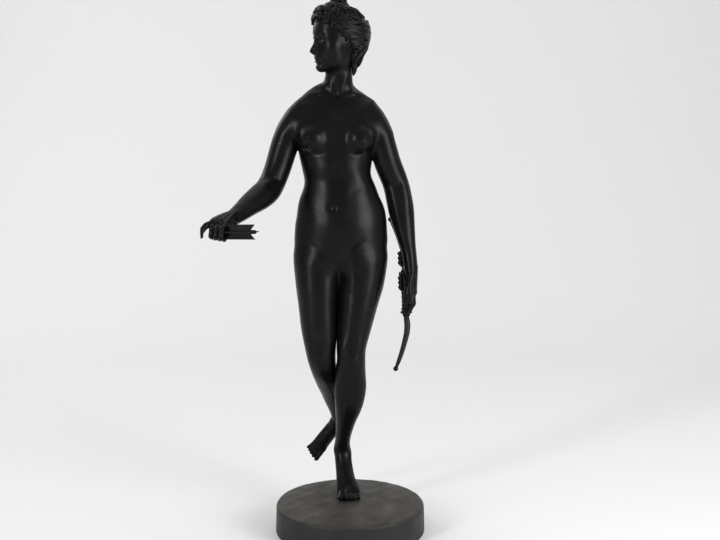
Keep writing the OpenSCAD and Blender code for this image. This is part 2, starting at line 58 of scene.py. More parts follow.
# Castings as stations [x, y, z, half side, front depth, back depth] in millimetres
TRUNK = [
    [-9, 13, 266, 26, 14, 20], [-9, 13, 278, 41, 25, 27], [-9, 13, 290, 46.6, 29, 27],
    [-9, 12, 304, 46.3, 29.5, 25], [-9, 12, 316, 45.2, 29, 23], [-10.3, 11, 330, 42, 27.5, 21],
    [-11, 10, 344, 37, 26, 20], [-12, 9.5, 355, 33.2, 25, 20.5], [-13, 9.5, 367, 34.5, 25.5, 22.5],
    [-13.4, 9.5, 380, 37, 26, 24.5], [-13.5, 9.5, 394, 39.5, 26, 26],
    [-13.5, 10, 408, 41, 24.5, 26], [-13.4, 11, 420, 41, 20.5, 24], [-13, 12, 429, 38.5, 16, 20],
    [-12.6, 12.5, 436, 33, 13, 16.5], [-12.1, 12, 442, 25, 12.5, 14],
    [-11.4, 10.5, 448, 15.5, 12.5, 13], [-10.8, 9, 455, 13.4, 12.5, 12.5],
    [-10.5, 7.5, 464, 13, 12.5, 12.5], [-10.5, 6.5, 474, 13, 13, 13],
]
NECK_STATION = 16
STANDING_LEG = [
    [15, 13, 290, 21, 22, 24], [13.3, 12, 272, 23.5, 24, 24.5], [11.4, 10.5, 256, 23.6, 24, 22.5],
    [9.2, 9, 242, 22.2, 23, 21], [7.4, 7, 228, 19.8, 21, 19.3], [4, 4.5, 206, 17.1, 17.5, 16],
    [1.4, 2, 188, 14.9, 14.5, 13.5], [1.1, 1.8, 174, 14.3, 13.5, 13], [0.3, 6, 158, 15.6, 12.5, 15],
    [0, 10, 143, 16.2, 12, 16.8], [-1.4, 14, 126, 14.2, 11, 15], [-4.8, 23.5, 106, 10.2, 9.2, 11.6],
    [-7.6, 33.5, 87, 8, 8, 9.4], [-8.6, 39.5, 75, 8.2, 8, 11], [-8, 40, 65, 8.6, 8.5, 12.5],
    [-6.4, 32.5, 53, 9, 8, 9.5], [-4.6, 22, 43.5, 10, 7.5, 8.5], [-2.6, 13.5, 37.5, 11.8, 5.5, 7.5],
    [-1.2, 5, 34.5, 11.6, 3.6, 5], [-1, -1, 33.5, 9, 2.5, 3.5],
]
TRAILING_LEG = [
    [-33, 13, 290, 21, 22, 24], [-32.7, 12.5, 272, 23.3, 24, 24.5], [-32, 11.5, 256, 23.3, 24, 22.5],
    [-31.7, 10.5, 242, 22, 23, 21], [-31.4, 9, 228, 20.4, 21, 19.3], [-30.6, 7, 206, 18.6, 18, 16],
    [-29.8, 6.5, 188, 16, 15.5, 14], [-28.7, 7.5, 175, 14.3, 14, 13], [-26.6, 14, 163, 13.2, 12.5, 14],
    [-22.6, 27, 151, 14, 12, 15.6], [-18.6, 40, 139, 14.2, 11.5, 15.6], [-16, 54, 123, 12, 10, 12.6],
    [-14, 67, 108, 9.2, 8.6, 9.6], [-13, 76, 97, 8, 8, 9], [-16, 81, 88, 8, 7.8, 12],
    [-22, 84, 79.5, 8.2, 7, 8.6], [-28.6, 86.5, 70.5, 8.4, 5.6, 6.8], [-34.6, 88, 62.5, 8.2, 4.4, 5],
    [-38.6, 89, 56.5, 7.2, 3, 3.6],
]
RIGHT_ARM = [
    [-46, 11, 416, 14, 14, 14], [-54, 10, 409, 14.3, 14.6, 14.4], [-60.3, 9, 398, 14, 14.4, 14],
    [-65, 8, 386, 13.6, 14, 13.6], [-71, 5, 366, 13, 13.4, 13.4], [-76.4, 0, 351.5, 12.8, 13, 13.4],
    [-81, -9, 343, 13.2, 12.4, 12.2], [-87.5, -21, 337, 12.8, 11.6, 11.8],
    [-95, -34, 331, 11, 10, 10.4], [-101.5, -46, 325, 9.4, 8, 8.4],
    [-107, -57, 320.5, 8.6, 6.4, 6.6], [-111.5, -65.5, 318.5, 9.6, 5.6, 6],
    [-115.5, -73.5, 316.2, 10.8, 4.8, 5.2], [-118, -78.5, 314.2, 9.8, 3.6, 3.6],
]
LEFT_ARM = [
    [16, 11, 416, 14, 14, 14], [23.6, 10, 409, 14.3, 14.6, 14.4], [29.2, 10, 398, 13.8, 14.4, 14],
    [33.2, 11, 385, 13.4, 14, 13.6], [37.7, 12.5, 370, 13.3, 13.4, 13.4],
    [45.6, 16, 350, 13, 12.6, 13.4], [49.5, 15, 333, 13.1, 12.4, 12.6],
    [51.8, 14, 320, 12.6, 12, 11.6], [55.2, 12, 302, 10, 10, 9.6], [58.6, 10.5, 284, 7.5, 8.8, 8.6],
    [60.2, 10, 272, 7.2, 9.6, 9.2], [61, 10, 261, 6.6, 10.6, 10], [61.6, 10, 251, 5.6, 11, 10.6],
    [62, 10, 243, 4.6, 10.6, 10.2], [62, 10.2, 238, 3.5, 9.7, 9.5],
]
RIGHT_SEAM, LEFT_SEAM = (RIGHT_ARM, 3), (LEFT_ARM, 4)
SEAM_REACH = 16.5
SIDES = (-1, 1)
BACK_X, CHEST_X = -12.5, -12.8
BREASTS = ((-1, -35.5), (1, 9.5))


def vec(*values):
    return np.array(values, float)


def unit(v):
    return v / np.linalg.norm(v)


def fade(value, low, high):
    """0 at low, 1 at high, with a smooth start and end."""
    t = np.clip((value - low) / (high - low), 0, 1)
    return t * t * (3 - 2 * t)


def smooth_path(points, steps):
    """Rows on a smooth curve through the given rows."""
    p = np.asarray(points, float)
    a, b, c, d = (
        p[np.clip(np.arange(len(p) - 1) + k, 0, len(p) - 1)][:, None, :] for k in (-1, 0, 1, 2)
    )
    t = (np.arange(steps) / steps)[None, :, None]
    curve = 0.5 * (
        2 * b + (c - a) * t + (2 * a - 5 * b + 4 * c - d) * t**2 + (3 * b - a - 3 * c + d) * t**3
    )
    return np.vstack([curve.reshape(-1, p.shape[1]), p[-1:]])


def smooth_min(a, b, soft):
    """The smaller of two distances, rounded where they meet over about soft millimetres."""
    soft = np.maximum(soft, 0.001)
    near = np.maximum(soft - np.abs(a - b), 0) / soft
    return np.minimum(a, b) - near * near * soft / 4


def blurred(values, width):
    """Values evened out over about width steps of the block."""
    reach = int(math.ceil(2.5 * width))
    weights = np.exp(-0.5 * (np.arange(-reach, reach + 1) / width) ** 2)
    weights /= weights.sum()
    for axis in range(3):
        padded = np.pad(values, [(reach, reach) if k == axis else (0, 0) for k in range(3)], "edge")
        total = np.zeros_like(values)
        for k, weight in enumerate(weights):
            part = [slice(None)] * 3
            part[axis] = slice(k, k + values.shape[axis])
            total += np.float32(weight) * padded[tuple(part)]
        values = total
    return values


def meeting(a, b, soft):
    """Joins two distances with a fillet only where their surfaces meet at an angle."""
    along = sum(p * q for p, q in zip(np.gradient(a), np.gradient(b)))
    size = np.sqrt(sum(p * p for p in np.gradient(a)) * sum(q * q for q in np.gradient(b)))
    turned = fade(1 - along / np.maximum(size, 1e-6), 0.0, 0.35)
    return smooth_min(a, b, soft * turned)


def tube_faces(rows, sides):
    """Quads of a tube of rings, and triangles to its end points, which come after the rings."""
    k = np.arange(sides)
    after = (k + 1) % sides
    row = np.arange(rows - 1)[:, None] * sides
    quads = np.stack([row + k, row + k + sides, row + after + sides, row + after], -1)
    end = (rows - 1) * sides
    first = np.stack([np.full(sides, rows * sides), k, after], 1)
    last = np.stack([np.full(sides, rows * sides + 1), end + after, end + k], 1)
    return quads.reshape(-1, 4), np.vstack([first, last])


def loft_skin(stations, facing, steps=8, sides=128):
    """A closed skin of oval rings: its points, quads and end triangles."""
    s = smooth_path(stations, steps)
    ahead = np.gradient(s[:, :3], axis=0)
    ahead /= np.linalg.norm(ahead, axis=1)[:, None]
    fore = facing - (ahead @ facing)[:, None] * ahead
    fore /= np.linalg.norm(fore, axis=1)[:, None]
    across = np.cross(fore, ahead)
    angle = np.linspace(0, 2 * math.pi, sides, endpoint=False)
    depth = np.where(np.sin(angle) > 0, s[:, 4:5], s[:, 5:6])
    rings = (
        s[:, None, :3]
        + across[:, None, :] * (s[:, 3:4] * np.cos(angle))[:, :, None]
        + fore[:, None, :] * (depth * np.sin(angle))[:, :, None]
    )
    return np.vstack([rings.reshape(-1, 3), s[:1, :3], s[-1:, :3]]), *tube_faces(len(s), sides)


def in_axes(grid, at, turn=None):
    """The grid's places measured from at, along the rows of turn."""
    p = [grid[k] - at[k] for k in range(3)]
    return p if turn is None else [sum(p[k] * row[k] for k in range(3)) for row in turn]


def ball(at, size, turn=None):
    """An ellipsoid. The rows of turn are its own axes."""
    at, size = np.asarray(at, float), np.broadcast_to(np.asarray(size, float), 3)

    def distance(*grid):
        p = in_axes(grid, at, turn)
        inner = np.sqrt(sum((p[i] / size[i]) ** 2 for i in range(3)))
        outer = np.sqrt(sum((p[i] / size[i] ** 2) ** 2 for i in range(3)))
        return inner * (inner - 1) / np.maximum(outer, 1e-6)

    return distance, at - size.max(), at + size.max()


def segment_distance(grid, a, b, ra=0.0, rb=0.0):
    """Distance to a rod from a to b whose radius goes from ra to rb."""
    line = b - a
    p = in_axes(grid, a)
    along = sum(p[k] * line[k] for k in range(3)) / max(float(line @ line), 1e-9)
    along = np.clip(along, 0, 1)
    away = np.sqrt(sum((p[k] - along * line[k]) ** 2 for k in range(3)))
    return away - (ra + (rb - ra) * along)


class Clay:
    """A block of signed distances in millimetres, negative inside, that shapes are worked into."""

    def __init__(self, low, high, voxel):
        self.voxel = voxel * COARSE
        self.low = np.array(low, float)
        self.count = np.ceil((np.array(high) - self.low) / self.voxel).astype(int) + 1
        self.field = np.full(self.count, FAR, np.float32)

    def layer(self):
        """An empty block of the same size."""
        other = copy.copy(self)
        other.field = np.full(self.count, FAR, np.float32)
        return other

    def window(self, low, high):
        """The part of the block inside a box, and its x, y and z."""
        first = np.clip(np.floor((low - self.low) / self.voxel).astype(int), 0, self.count)
        last = np.clip(np.ceil((high - self.low) / self.voxel).astype(int) + 1, first, self.count)
        axes = [
            (self.low[k] + self.voxel * np.arange(first[k], last[k])).astype(np.float32)
            for k in range(3)
        ]
        part = tuple(slice(a, b) for a, b in zip(first, last))
        return part, np.meshgrid(*axes, indexing="ij", sparse=True)

    def grid(self):
        return self.window(self.low, self.low + self.voxel * self.count)[1]

    def loft(self, stations, facing=FRONT, reach=12.0):
        """Distances from a skin through stations, true to reach millimetres from it."""
        points, quads, triangles = loft_skin(stations, facing)
        level = vdb.FloatGrid.createLevelSetFromPolygons(
            (points - self.low).astype(np.float32),
            triangles=triangles.astype(np.uint32),
            quads=quads.astype(np.uint32),
            transform=vdb.createLinearTransform(voxelSize=self.voxel),
            halfWidth=reach / self.voxel,
        )
        values = np.empty(self.count, np.float32)
        level.copyToArray(values, ijk=(0, 0, 0))
        return values

    def merge(self, values, soft=0.0):
        self.field = smooth_min(self.field, values, soft)

    def join(self, shape, soft=1.0, way=1):
        """Adds a shape, or takes it away where way is -1."""
        distance, low, high = shape
        part, grid = self.window(low - soft - 3, high + soft + 3)
        self.field[part] = way * smooth_min(way * self.field[part], distance(*grid), soft)

    def cut(self, shape, soft=1.0):
        self.join(shape, soft, -1)

    def rod(self, points, radii, steps=4, margin=3.0):
        """A bent round rod through points."""
        radii = np.broadcast_to(np.asarray(radii, float), len(points))
        path = smooth_path(np.column_stack([points, radii]), steps)
        for p, q in zip(path[:-1], path[1:]):
            reach = max(p[3], q[3]) + margin
            part, grid = self.window(np.minimum(p, q)[:3] - reach, np.maximum(p, q)[:3] + reach)
            rod = segment_distance(grid, p[:3], q[:3], p[3], q[3])
            self.field[part] = np.minimum(self.field[part], rod)

    def swell(self, at, height, spread):
        """Raises the surface round a point by up to height; a negative height hollows it."""
        at, spread = np.asarray(at, float), np.broadcast_to(np.asarray(spread, float), 3)
        part, grid = self.window(at - 2.6 * spread.max(), at + 2.6 * spread.max())
        p = in_axes(grid, at)
        self.field[part] -= height * np.exp(-sum((p[k] / spread[k]) ** 2 for k in range(3)))

    def crease(self, points, height, width):
        """Raises a ridge along a line; a negative height presses a groove."""
        heights = np.broadcast_to(np.asarray(height, float), len(points))
        path = smooth_path(np.column_stack([points, heights]), 4)
        reach = 2.6 * width
        part, grid = self.window(path[:, :3].min(0) - reach, path[:, :3].max(0) + reach)
        away, high = np.full(self.field[part].shape, FAR), np.zeros(self.field[part].shape)
        for a, b in zip(path[:-1], path[1:]):
            d = segment_distance(grid, a[:3], b[:3])
            high = np.where(d < away, (a[3] + b[3]) / 2, high)
            away = np.minimum(away, d)
        self.field[part] -= high * np.exp(-((away / width) ** 2))

    def sample(self, points):
        """Distances at points, read between the block's values."""
        p = (points - self.low) / self.voxel
        i = np.clip(np.floor(p).astype(int), 0, self.count - 2)
        f = np.clip(p - i, 0, 1)
        total = np.zeros(len(points))
        for corner in np.ndindex(2, 2, 2):
            weight = np.prod(np.where(corner, f, 1 - f), axis=1)
            total += weight * self.field[tuple((i + corner).T)]
        return total

    def skin(self, start, toward, reach=60.0):
        """Where a line from a point inside leaves the clay."""
        steps = np.arange(0, reach, self.voxel / 4)
        line = np.asarray(start, float) + steps[:, None] * unit(np.asarray(toward, float))
        return line[np.argmax(self.sample(line) > 0)]

    def skins(self, starts, toward, reach):
        return [self.skin(start, toward, reach) for start in starts]

    def front(self, x, z, inside=8.0):
        return self.skin(vec(x, inside, z), FRONT)

    def back(self, x, z, inside=12.0):
        return self.skin(vec(x, inside, z), -FRONT)

    def fronts(self, pairs, x=0, side=1, inside=8.0):
        """Places on the front, given as distances from x to one side, and heights."""
        return [self.front(x + side * k, z, inside) for k, z in pairs]

    def backs(self, pairs, x=0, side=1):
        return [self.back(x + side * k, z) for k, z in pairs]

    def surface(self, passes):
        """Points and quads of the clay's surface, evened out and put back on it."""
        grid = vdb.FloatGrid(background=FAR)
        grid.copyFromArray(self.field)
        grid.transform = vdb.createLinearTransform(voxelSize=self.voxel)
        points, faces = grid.convertToQuads(isovalue=0.0)
        points = points.astype(float) + self.low
        n = len(points)
        a, b = faces.T.ravel(), np.roll(faces, -1, axis=1).T.ravel()
        count = (np.bincount(a, minlength=n) + np.bincount(b, minlength=n))[:, None]
        for _ in range(passes):
            total = [
                np.bincount(a, points[b, k], n) + np.bincount(b, points[a, k], n) for k in range(3)
            ]
            points = 0.4 * points + 0.6 * np.stack(total, 1) / count
            normal = face_normals(points, faces)
            h = self.voxel / 2
            slope = (self.sample(points + h * normal) - self.sample(points - h * normal)) / (2 * h)
            step = self.sample(points) / np.maximum(slope, 0.4)
            points -= normal * np.clip(step, -h, h)[:, None]
        return points, faces

    def cast(self, name, node, cuts=(), passes=3):
        """Makes the clay a bronze piece that stands for one CAD node."""
        points, faces = self.surface(passes)
        mesh = bpy.data.meshes.new(name)
        mesh.from_pydata((points * MM).tolist(), [], faces.tolist())
        if cuts:
            bm = bmesh.new()
            bm.from_mesh(mesh)
            for cut in cuts:
                slice_off(bm, *cut)
            bm.to_mesh(mesh)
            bm.free()
        add_piece(mesh, node, BRONZE, 70)


def face_normals(points, faces):
    """Normals of the points of a quad mesh."""
    corners = points[faces]
    area = np.cross(corners[:, 2] - corners[:, 0], corners[:, 3] - corners[:, 1])
    normal = np.zeros_like(points)
    for k in range(3):
        for j in range(4):
            normal[:, k] += np.bincount(faces[:, j], area[:, k], len(points))
    return normal / np.maximum(np.linalg.norm(normal, axis=1), 1e-9)[:, None]


def slice_off(bm, point, normal, touches=None):
    """Cuts away what lies beyond a plane and closes the cut with a flat face."""
    faces = list(bm.faces)
    if touches is not None:
        centres = np.array([f.calc_center_median() for f in faces]) / MM
        faces = [f for f, near in zip(faces, touches(centres)) if near]
    geometry = set(faces)
    for f in faces:
        geometry.update(f.edges)
        geometry.update(f.verts)
    made = bmesh.ops.bisect_plane(
        bm,
        geom=list(geometry),
        dist=1e-6,
        plane_co=Vector(point) * MM,
        plane_no=Vector(normal),
        clear_outer=True,
    )
    edges = [e for e in made["geom_cut"] if isinstance(e, bmesh.types.BMEdge)]
    bmesh.ops.holes_fill(bm, edges=edges, sides=0)


def add_piece(mesh, node, material, sharp):
    """Makes a piece that stands for one CAD node, smooth but for edges over sharp degrees."""
    mesh.polygons.foreach_set("use_smooth", [True] * len(mesh.polygons))
    mesh.set_sharp_from_angle(angle=math.radians(sharp))
    mesh.materials.append(material)
    piece = bpy.data.objects.new(mesh.name, mesh)
    bpy.context.collection.objects.link(piece)
    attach(piece, "root")
    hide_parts(node)


# ---- Materials ----
class Finish:
    """A new material, with short ways to add linked nodes to it."""

    def __init__(self, name):
        self.material = bpy.data.materials.new(name)
        self.material.use_nodes = True
        self.tree = self.material.node_tree
        self.place = self.node("TexCoord").outputs["Object"]

    def feed(self, inputs, values):
        for key, value in values.items():
            if isinstance(value, bpy.types.NodeSocket):
                self.tree.links.new(value, inputs[key])
            else:
                inputs[key].default_value = value

    def node(self, kind, values=(), **settings):
        made = self.tree.nodes.new("ShaderNode" + kind)
        for key, value in settings.items():
            setattr(made, key, value)
        self.feed(made.inputs, dict(values))
        return made

    def noise(self, scale, detail, rough=0.5):
        values = {"Vector": self.place, "Scale": scale, "Detail": detail, "Roughness": rough}
        return self.node("TexNoise", values).outputs["Fac"]

    def remap(self, value, start=0.0, end=1.0, low=0.0, high=1.0):
        """Takes start to end in value to low to high."""
        values = {"Value": value, "From Min": start, "From Max": end, "To Min": low, "To Max": high}
        return self.node("MapRange", values).outputs["Result"]

    def ramp(self, factor, *stops):
        made = self.node("ValToRGB", {"Fac": factor})
        elements = made.color_ramp.elements
        while len(elements) < len(stops):
            elements.new(0.5)
        for element, (position, colour) in zip(elements, stops):
            element.position = position
            element.color = (*colour, 1)
        return made.outputs["Color"]

    def mix(self, share, one, other):
        return self.node("Mix", {0: share, 6: one, 7: other}, data_type="RGBA").outputs[2]

    def bump(self, height, strength, depth, **under):
        values = {"Height": height, "Strength": strength, "Distance": depth, **under}
        return self.node("Bump", values).outputs["Normal"]

    def done(self, looks):
        self.feed(self.tree.nodes["Principled BSDF"].inputs, looks)
        return self.material


def cast_bronze():
    """Near-black chemical patina over bronze: satin, faintly brown where hollows hold wax, paler on convex
    edges and tips as rubbed wear and painted highlight.
    """
    made = Finish("dark_bronze_patina")
    cloud, grain, brushed = made.noise(38, 5), made.noise(900, 3), made.noise(210, 6, 0.7)
    pointed = made.node("NewGeometry").outputs["Pointiness"]
    hollow, edge = made.remap(pointed, 0.49, 0.44), made.remap(pointed, 0.53, 0.6)
    black, grey, brown = (0.0022, 0.0022, 0.0025), (0.0031, 0.0031, 0.0033), (0.0055, 0.0050, 0.0045)
    patina = made.ramp(cloud, (0.3, black), (0.55, grey), (0.75, brown))
    waxed = made.mix(hollow, patina, (0.0050, 0.0044, 0.0036, 1))
    # Convex edges and tips painted paler: rubbed wear and a painted highlight
    rubbed_and_highlit = made.mix(edge, waxed, (0.016, 0.014, 0.012, 1))
    shine, dull = made.remap(brushed, 0.3, 0.7, 0.25, 0.36), made.remap(hollow, high=0.2)
    rough = made.node("Math", {0: shine, 1: dull}, operation="ADD").outputs[0]
    wavy = made.bump(brushed, 0.25, 0.00012)
    fine = made.bump(grain, 0.25, 0.00004, Normal=wavy)
    return made.done({"Base Color": rubbed_and_highlit, "Roughness": rough, "IOR": 1.225, "Normal": fine})


def worn_bronze():
    """The base: matte, mottled brown-black patina with pits and pale wear; painted shade darkens the wall
    and painted light brightens the top.
    """
    made = Finish("worn_bronze_patina")
    cloud, speck = made.noise(45, 8, 0.65), made.noise(420, 4)
    pits = made.node("TexVoronoi", {"Vector": made.place, "Scale": 260}).outputs["Distance"]
    brown, drab, pale = (0.016, 0.0135, 0.010), (0.029, 0.025, 0.019), (0.048, 0.042, 0.033)
    # Lit and shaded copies of one patina: the top ramp carries painted light, the much darker wall ramp
    # painted shade
    top = made.ramp(cloud, (0.3, brown), (0.5, drab), (0.72, pale))
    wall = made.ramp(cloud, (0.3, (0.006, 0.0058, 0.006)), (0.7, (0.012, 0.0115, 0.0115)))
    level = made.node("SeparateXYZ", {0: made.node("TexCoord").outputs["Normal"]}).outputs[2]
    # Up-facing mask: it turns the painted shade of the wall into the painted light of the top, and weights
    # the pale wear specks toward the top
    lit_top_and_wear = made.remap(level, 0.35, 0.8)
    spots = made.remap(speck, 0.58, 0.8, high=made.remap(lit_top_and_wear, low=0.12, high=0.8))
    mottled = made.mix(spots, made.mix(lit_top_and_wear, wall, top), (0.070, 0.064, 0.053, 1))
    rough = made.remap(cloud, 0.3, 0.7, 0.62, 0.44)
    deep = made.bump(made.remap(pits, 0.0, 0.25), 0.2, 0.0002)
    fine = made.bump(speck, 0.45, 0.00025, Normal=deep)
    return made.done({"Base Color": mottled, "Roughness": rough, "IOR": 1.38, "Normal": fine})


def bare_metal(name, colour, dark, rough):
    """Turned metal of the fixings, with machining rings of wear and tarnish."""
    made = Finish(name)
    cloud, lines = made.noise(160, 6), made.noise(1400, 2)
    tint = made.ramp(cloud, (0.3, dark), (0.65, colour))
    shine = made.remap(cloud, low=rough + 0.2, high=rough - 0.05)
    fine = made.bump(lines, 0.2, 0.00004)
    return made.done({"Base Color": tint, "Metallic": 1.0, "Roughness": shine, "Normal": fine})


BRONZE = cast_bronze()
BRASS = bare_metal("pin_brass_metal", (0.55, 0.40, 0.17), (0.25, 0.17, 0.08), 0.32)
STEEL = bare_metal("fixing_steel_metal", (0.46, 0.46, 0.45), (0.16, 0.15, 0.14), 0.35)


# ---- Shapes shared by neighbouring castings ----
def heading(stations, i):
    """The direction of a limb at one of its stations."""
    ends = np.array(stations, float)[[max(i - 1, 0), min(i + 1, len(stations) - 1)], :3]
    return unit(ends[1] - ends[0])


def neck_tendons(clay):
    """The two neck tendons, from behind the jaw to the pit of the throat."""
    near = [(-12, -1.5, 434), (-8, -2.5, 444), (-2, -1, 455), (3, 3, 466), (5, 9, 474)]
    far = [(-15, -1.5, 434), (-18, -1.5, 444), (-21, 1.5, 456), (-23, 7, 470)]
    clay.crease(near, (0.7, 0.7, 0.5, 0.3, 0), 2.8)
    clay.crease(far, (0.6, 0.5, 0.3, 0), 2.6)
    clay.swell((-13.3, -3, 436), -1.5, (2.6, 4, 3.4))
    clay.swell((-13.5, -4.5, 452), 0.3, (4, 4, 6))


def torso():
    clay = Clay((-86, -44, 236), (58, 58, 454), 0.95)
    x, y, z = clay.grid()
    near_leg, far_leg = (
        clay.loft([[top, 13, 310, 9, 11, 13], [hip, 13, 291, 17.5, 19.5, 21.5], *leg[1:6]], FRONT, 16)
        for top, hip, leg in ((11, 14, STANDING_LEG), (-29, -32, TRAILING_LEG))
    )
    legs = smooth_min(near_leg, far_leg, 5 * fade(z, 244, 270))
    clay.field = meeting(clay.loft(TRUNK, FRONT, 16), legs, 16 * fade(z, 243, 266))
    right, left = clay.loft(RIGHT_ARM[:5], FRONT, 14), clay.loft(LEFT_ARM[:6], FRONT, 14)
    clay.field = meeting(clay.field, right, 14 * fade(z, 388, 404))
    clay.field = meeting(clay.field, left, 1 + 13 * fade(z, 388, 404))
    # Shoulders, breasts, buttocks and the mound of the groin
    masses = [((-49, 11, 413), (14, 13.5, 14), 5), ((18.5, 11, 414), 13.5, 5)]
    for side, middle in BREASTS:
        masses.append(((middle - side * 1.5, -1.5, 403), (15, 12, 15), 7))
        masses.append(((middle, -7.5, 393.5), (14.2, 15.2, 13.8), 4))
    masses += [((-30.5, 21, 279), (20.5, 20, 20), 6), ((12.5, 21, 281), (20.5, 20, 20), 6)]
    masses.append(((-11.8, 0, 282), (15, 13.2, 14), 5))
    for at, size, soft in masses:
        clay.join(ball(at, size), soft)
    # The masses flow into each other, but keep their edges next to the joints with other castings
    blend = fade(z, 244, 258)
    for stations, k in (RIGHT_SEAM, LEFT_SEAM):
        away = np.sqrt(sum(p * p for p in in_axes((x, y, z), stations[k][:3])))
        blend = blend * fade(away, 16, 26)
    blend = blend * (1 - fade(z, 438, 446))
    clay.field += (blurred(clay.field, 2.7 / clay.voxel) - clay.field) * blend
    for side, middle in BREASTS:
        tip = clay.front(middle + side * 4.4, 394.8)
        clay.swell(tip, 0.35, 3.2)
        clay.join(ball(tip + vec(0, -0.1, 0), 1.2), 0.9)
    right_fold = ((-47.5, 396), (-46, 388), (-42, 382), (-35, 379), (-27, 379.5), (-22, 381))
    left_fold = ((21.3, 400), (20.2, 387), (14.5, 380), (9, 378.4), (3, 379), (-2, 381))
    for fold in (right_fold, left_fold):
        clay.crease(clay.fronts(fold), (0, -0.7, -1.0, -1.0, -0.6, 0), 1.5)
    clay.crease([(-9.4, 41, 298), (-9.6, 42, 286), (-10, 38, 270), (-10.5, 30, 258)], -3.6, 3.2)
    for leg_x in (-31, 12):
        under = ((-13, 257.44), (-5, 258.4), (4, 258.52), (13, 257.44))
        clay.crease(clay.backs(under, leg_x), -1.0, 3.4)
    # Back: furrow, shoulder blades, loins
    clay.crease(clay.backs([(0, s) for s in (430, 408, 385, 360, 335, 312)], BACK_X), -1.8, 6)
    for side in SIDES:
        clay.swell(clay.back(BACK_X + side * 21, 398), 1.8, (11, 12, 15))
        blade, inner = ((17, 414), (14, 396), (16, 384), (24, 380)), ((12, 412), (9.5, 396), (12, 380))
        clay.crease(clay.backs(blade, BACK_X, side), 0.7, 3.6)
        clay.crease(clay.backs(inner, BACK_X, side), -0.6, 5)
        clay.swell(clay.back(-10 + side * 10.5, 303), -0.9, 4.5)
        clay.swell(clay.back(-11 + side * 13, 345), 1.0, (8, 8, 24))
    # Collar bones and the hollow over each
    for side in SIDES:
        rise = ((4, 432.5), (9, 435.5), (16, 438), (26, 437), (36, 431))
        bone = [p + vec(0, 0.6, 0) for p in clay.fronts(rise, CHEST_X, side)]
        clay.crease(bone[:3], 0.9, 2.4)
        clay.crease(bone[2:], 0.35, 3.2)
        clay.swell(clay.front(CHEST_X + side * 20, 443), -0.6, (7, 5, 3))
        clay.swell(clay.front(CHEST_X + side * 35, 421), -0.5, (6, 6, 9))
    neck_tendons(clay)
    # Chest and belly, all very shallow
    clay.crease(clay.fronts([(0, s) for s in (424, 410, 396, 380, 368)], CHEST_X), -0.7, 5)
    for side in SIDES:
        ribs, flank = ((4, 371), (12, 364), (20, 357), (27, 352)), ((17, 348), (16, 330), (13, 312))
        clay.crease(clay.fronts(ribs, -12.5, side), 0.25, 6)
        clay.crease(clay.fronts(flank, -13.5, side), -0.25, 6)
    clay.crease(clay.fronts([(0, s) for s in (366, 354, 342, 334)], CHEST_X), -0.45, 4.2)
    clay.swell(clay.front(-13.5, 353), -1.2, (27, 12, 10))
    clay.swell(clay.front(-13.5, 315), 1.7, (22, 12, 15))
    waist_fold = clay.fronts(((19, 353), (12, 348.5), (4, 343.5), (-4, 340)))
    clay.crease(waist_fold, (0, -0.25, -0.25, 0), 3.6)
    navel = clay.front(-15.6, 326.4)
    clay.swell(navel, -1.0, (5, 5, 4.4))
    clay.swell(navel + vec(0, 0.8, 0.2), -2.6, (1.5, 3.6, 2.1))
    clay.crease(navel + np.array([(-1.8, 0.6, 1.6), (0.2, 0, 2.8), (2.2, 0.6, 1.4)]), 0.4, 1.1)
    # The folds over each thigh, and the line between the thighs
    clay.swell(clay.front(3.5, 262), 2.2, (8, 10, 17))
    near_fold = ((-13, 272), (-8.5, 279), (-3.5, 284.5), (3, 290), (10, 294.5), (18, 299))
    far_fold = ((-14.5, 271), (-21, 277.5), (-28, 283), (-35, 288), (-41, 293))
    folds = clay.fronts(near_fold), clay.fronts(far_fold)
    clay.crease(folds[0], (-0.7, -1.2, -1.3, -1.0, -0.5, 0), 2.6)
    clay.crease(folds[1], (-0.5, -0.8, -0.6, -0.3, 0), 3.2)
    clay.crease(clay.fronts(((-11.6, 268), (-11.2, 256), (-11.2, 243))), -0.7, 1.8)
    seam_groove(clay, *RIGHT_SEAM)
    cuts = [((0, 0, THIGH_SEAM_Z), (0, 0, -1))]
    for (stations, k), own in ((RIGHT_SEAM, right), (LEFT_SEAM, left)):
        seam = stations[k][:3]
        cuts.append((seam, heading(stations, k), near_limb(clay, own, seam)))
    clay.cast("torso", "torso_casting", cuts)


def seam_groove(clay, stations, k):
    """The chased line round a limb where two castings meet."""
    centre, along = np.array(stations[k][:3], float), heading(stations, k)
    side = unit(np.cross(along, FRONT))
    fore = np.cross(side, along)
    turns = np.linspace(0, 2 * math.pi, 49)
    rim = [clay.skin(centre, side * math.cos(a) + fore * math.sin(a), 40) for a in turns]
    for a, b in zip(rim[:-1], rim[1:]):
        if max(np.linalg.norm(a - centre), np.linalg.norm(b - centre)) < SEAM_REACH:
            line = clay.layer()
            line.rod([a, b], 0.45, 1, 2.0)
            clay.field = -smooth_min(-clay.field, line.field, 0.3)


def near_limb(clay, own, seam):
    """Picks the faces that belong to one limb and lie round its seam."""
    limb = clay.layer()
    limb.field = own

    def touches(centres):
        away = np.linalg.norm(centres - np.array(seam), axis=1)
        return (limb.sample(centres) < 0.8) & (away < 28)

    return touches


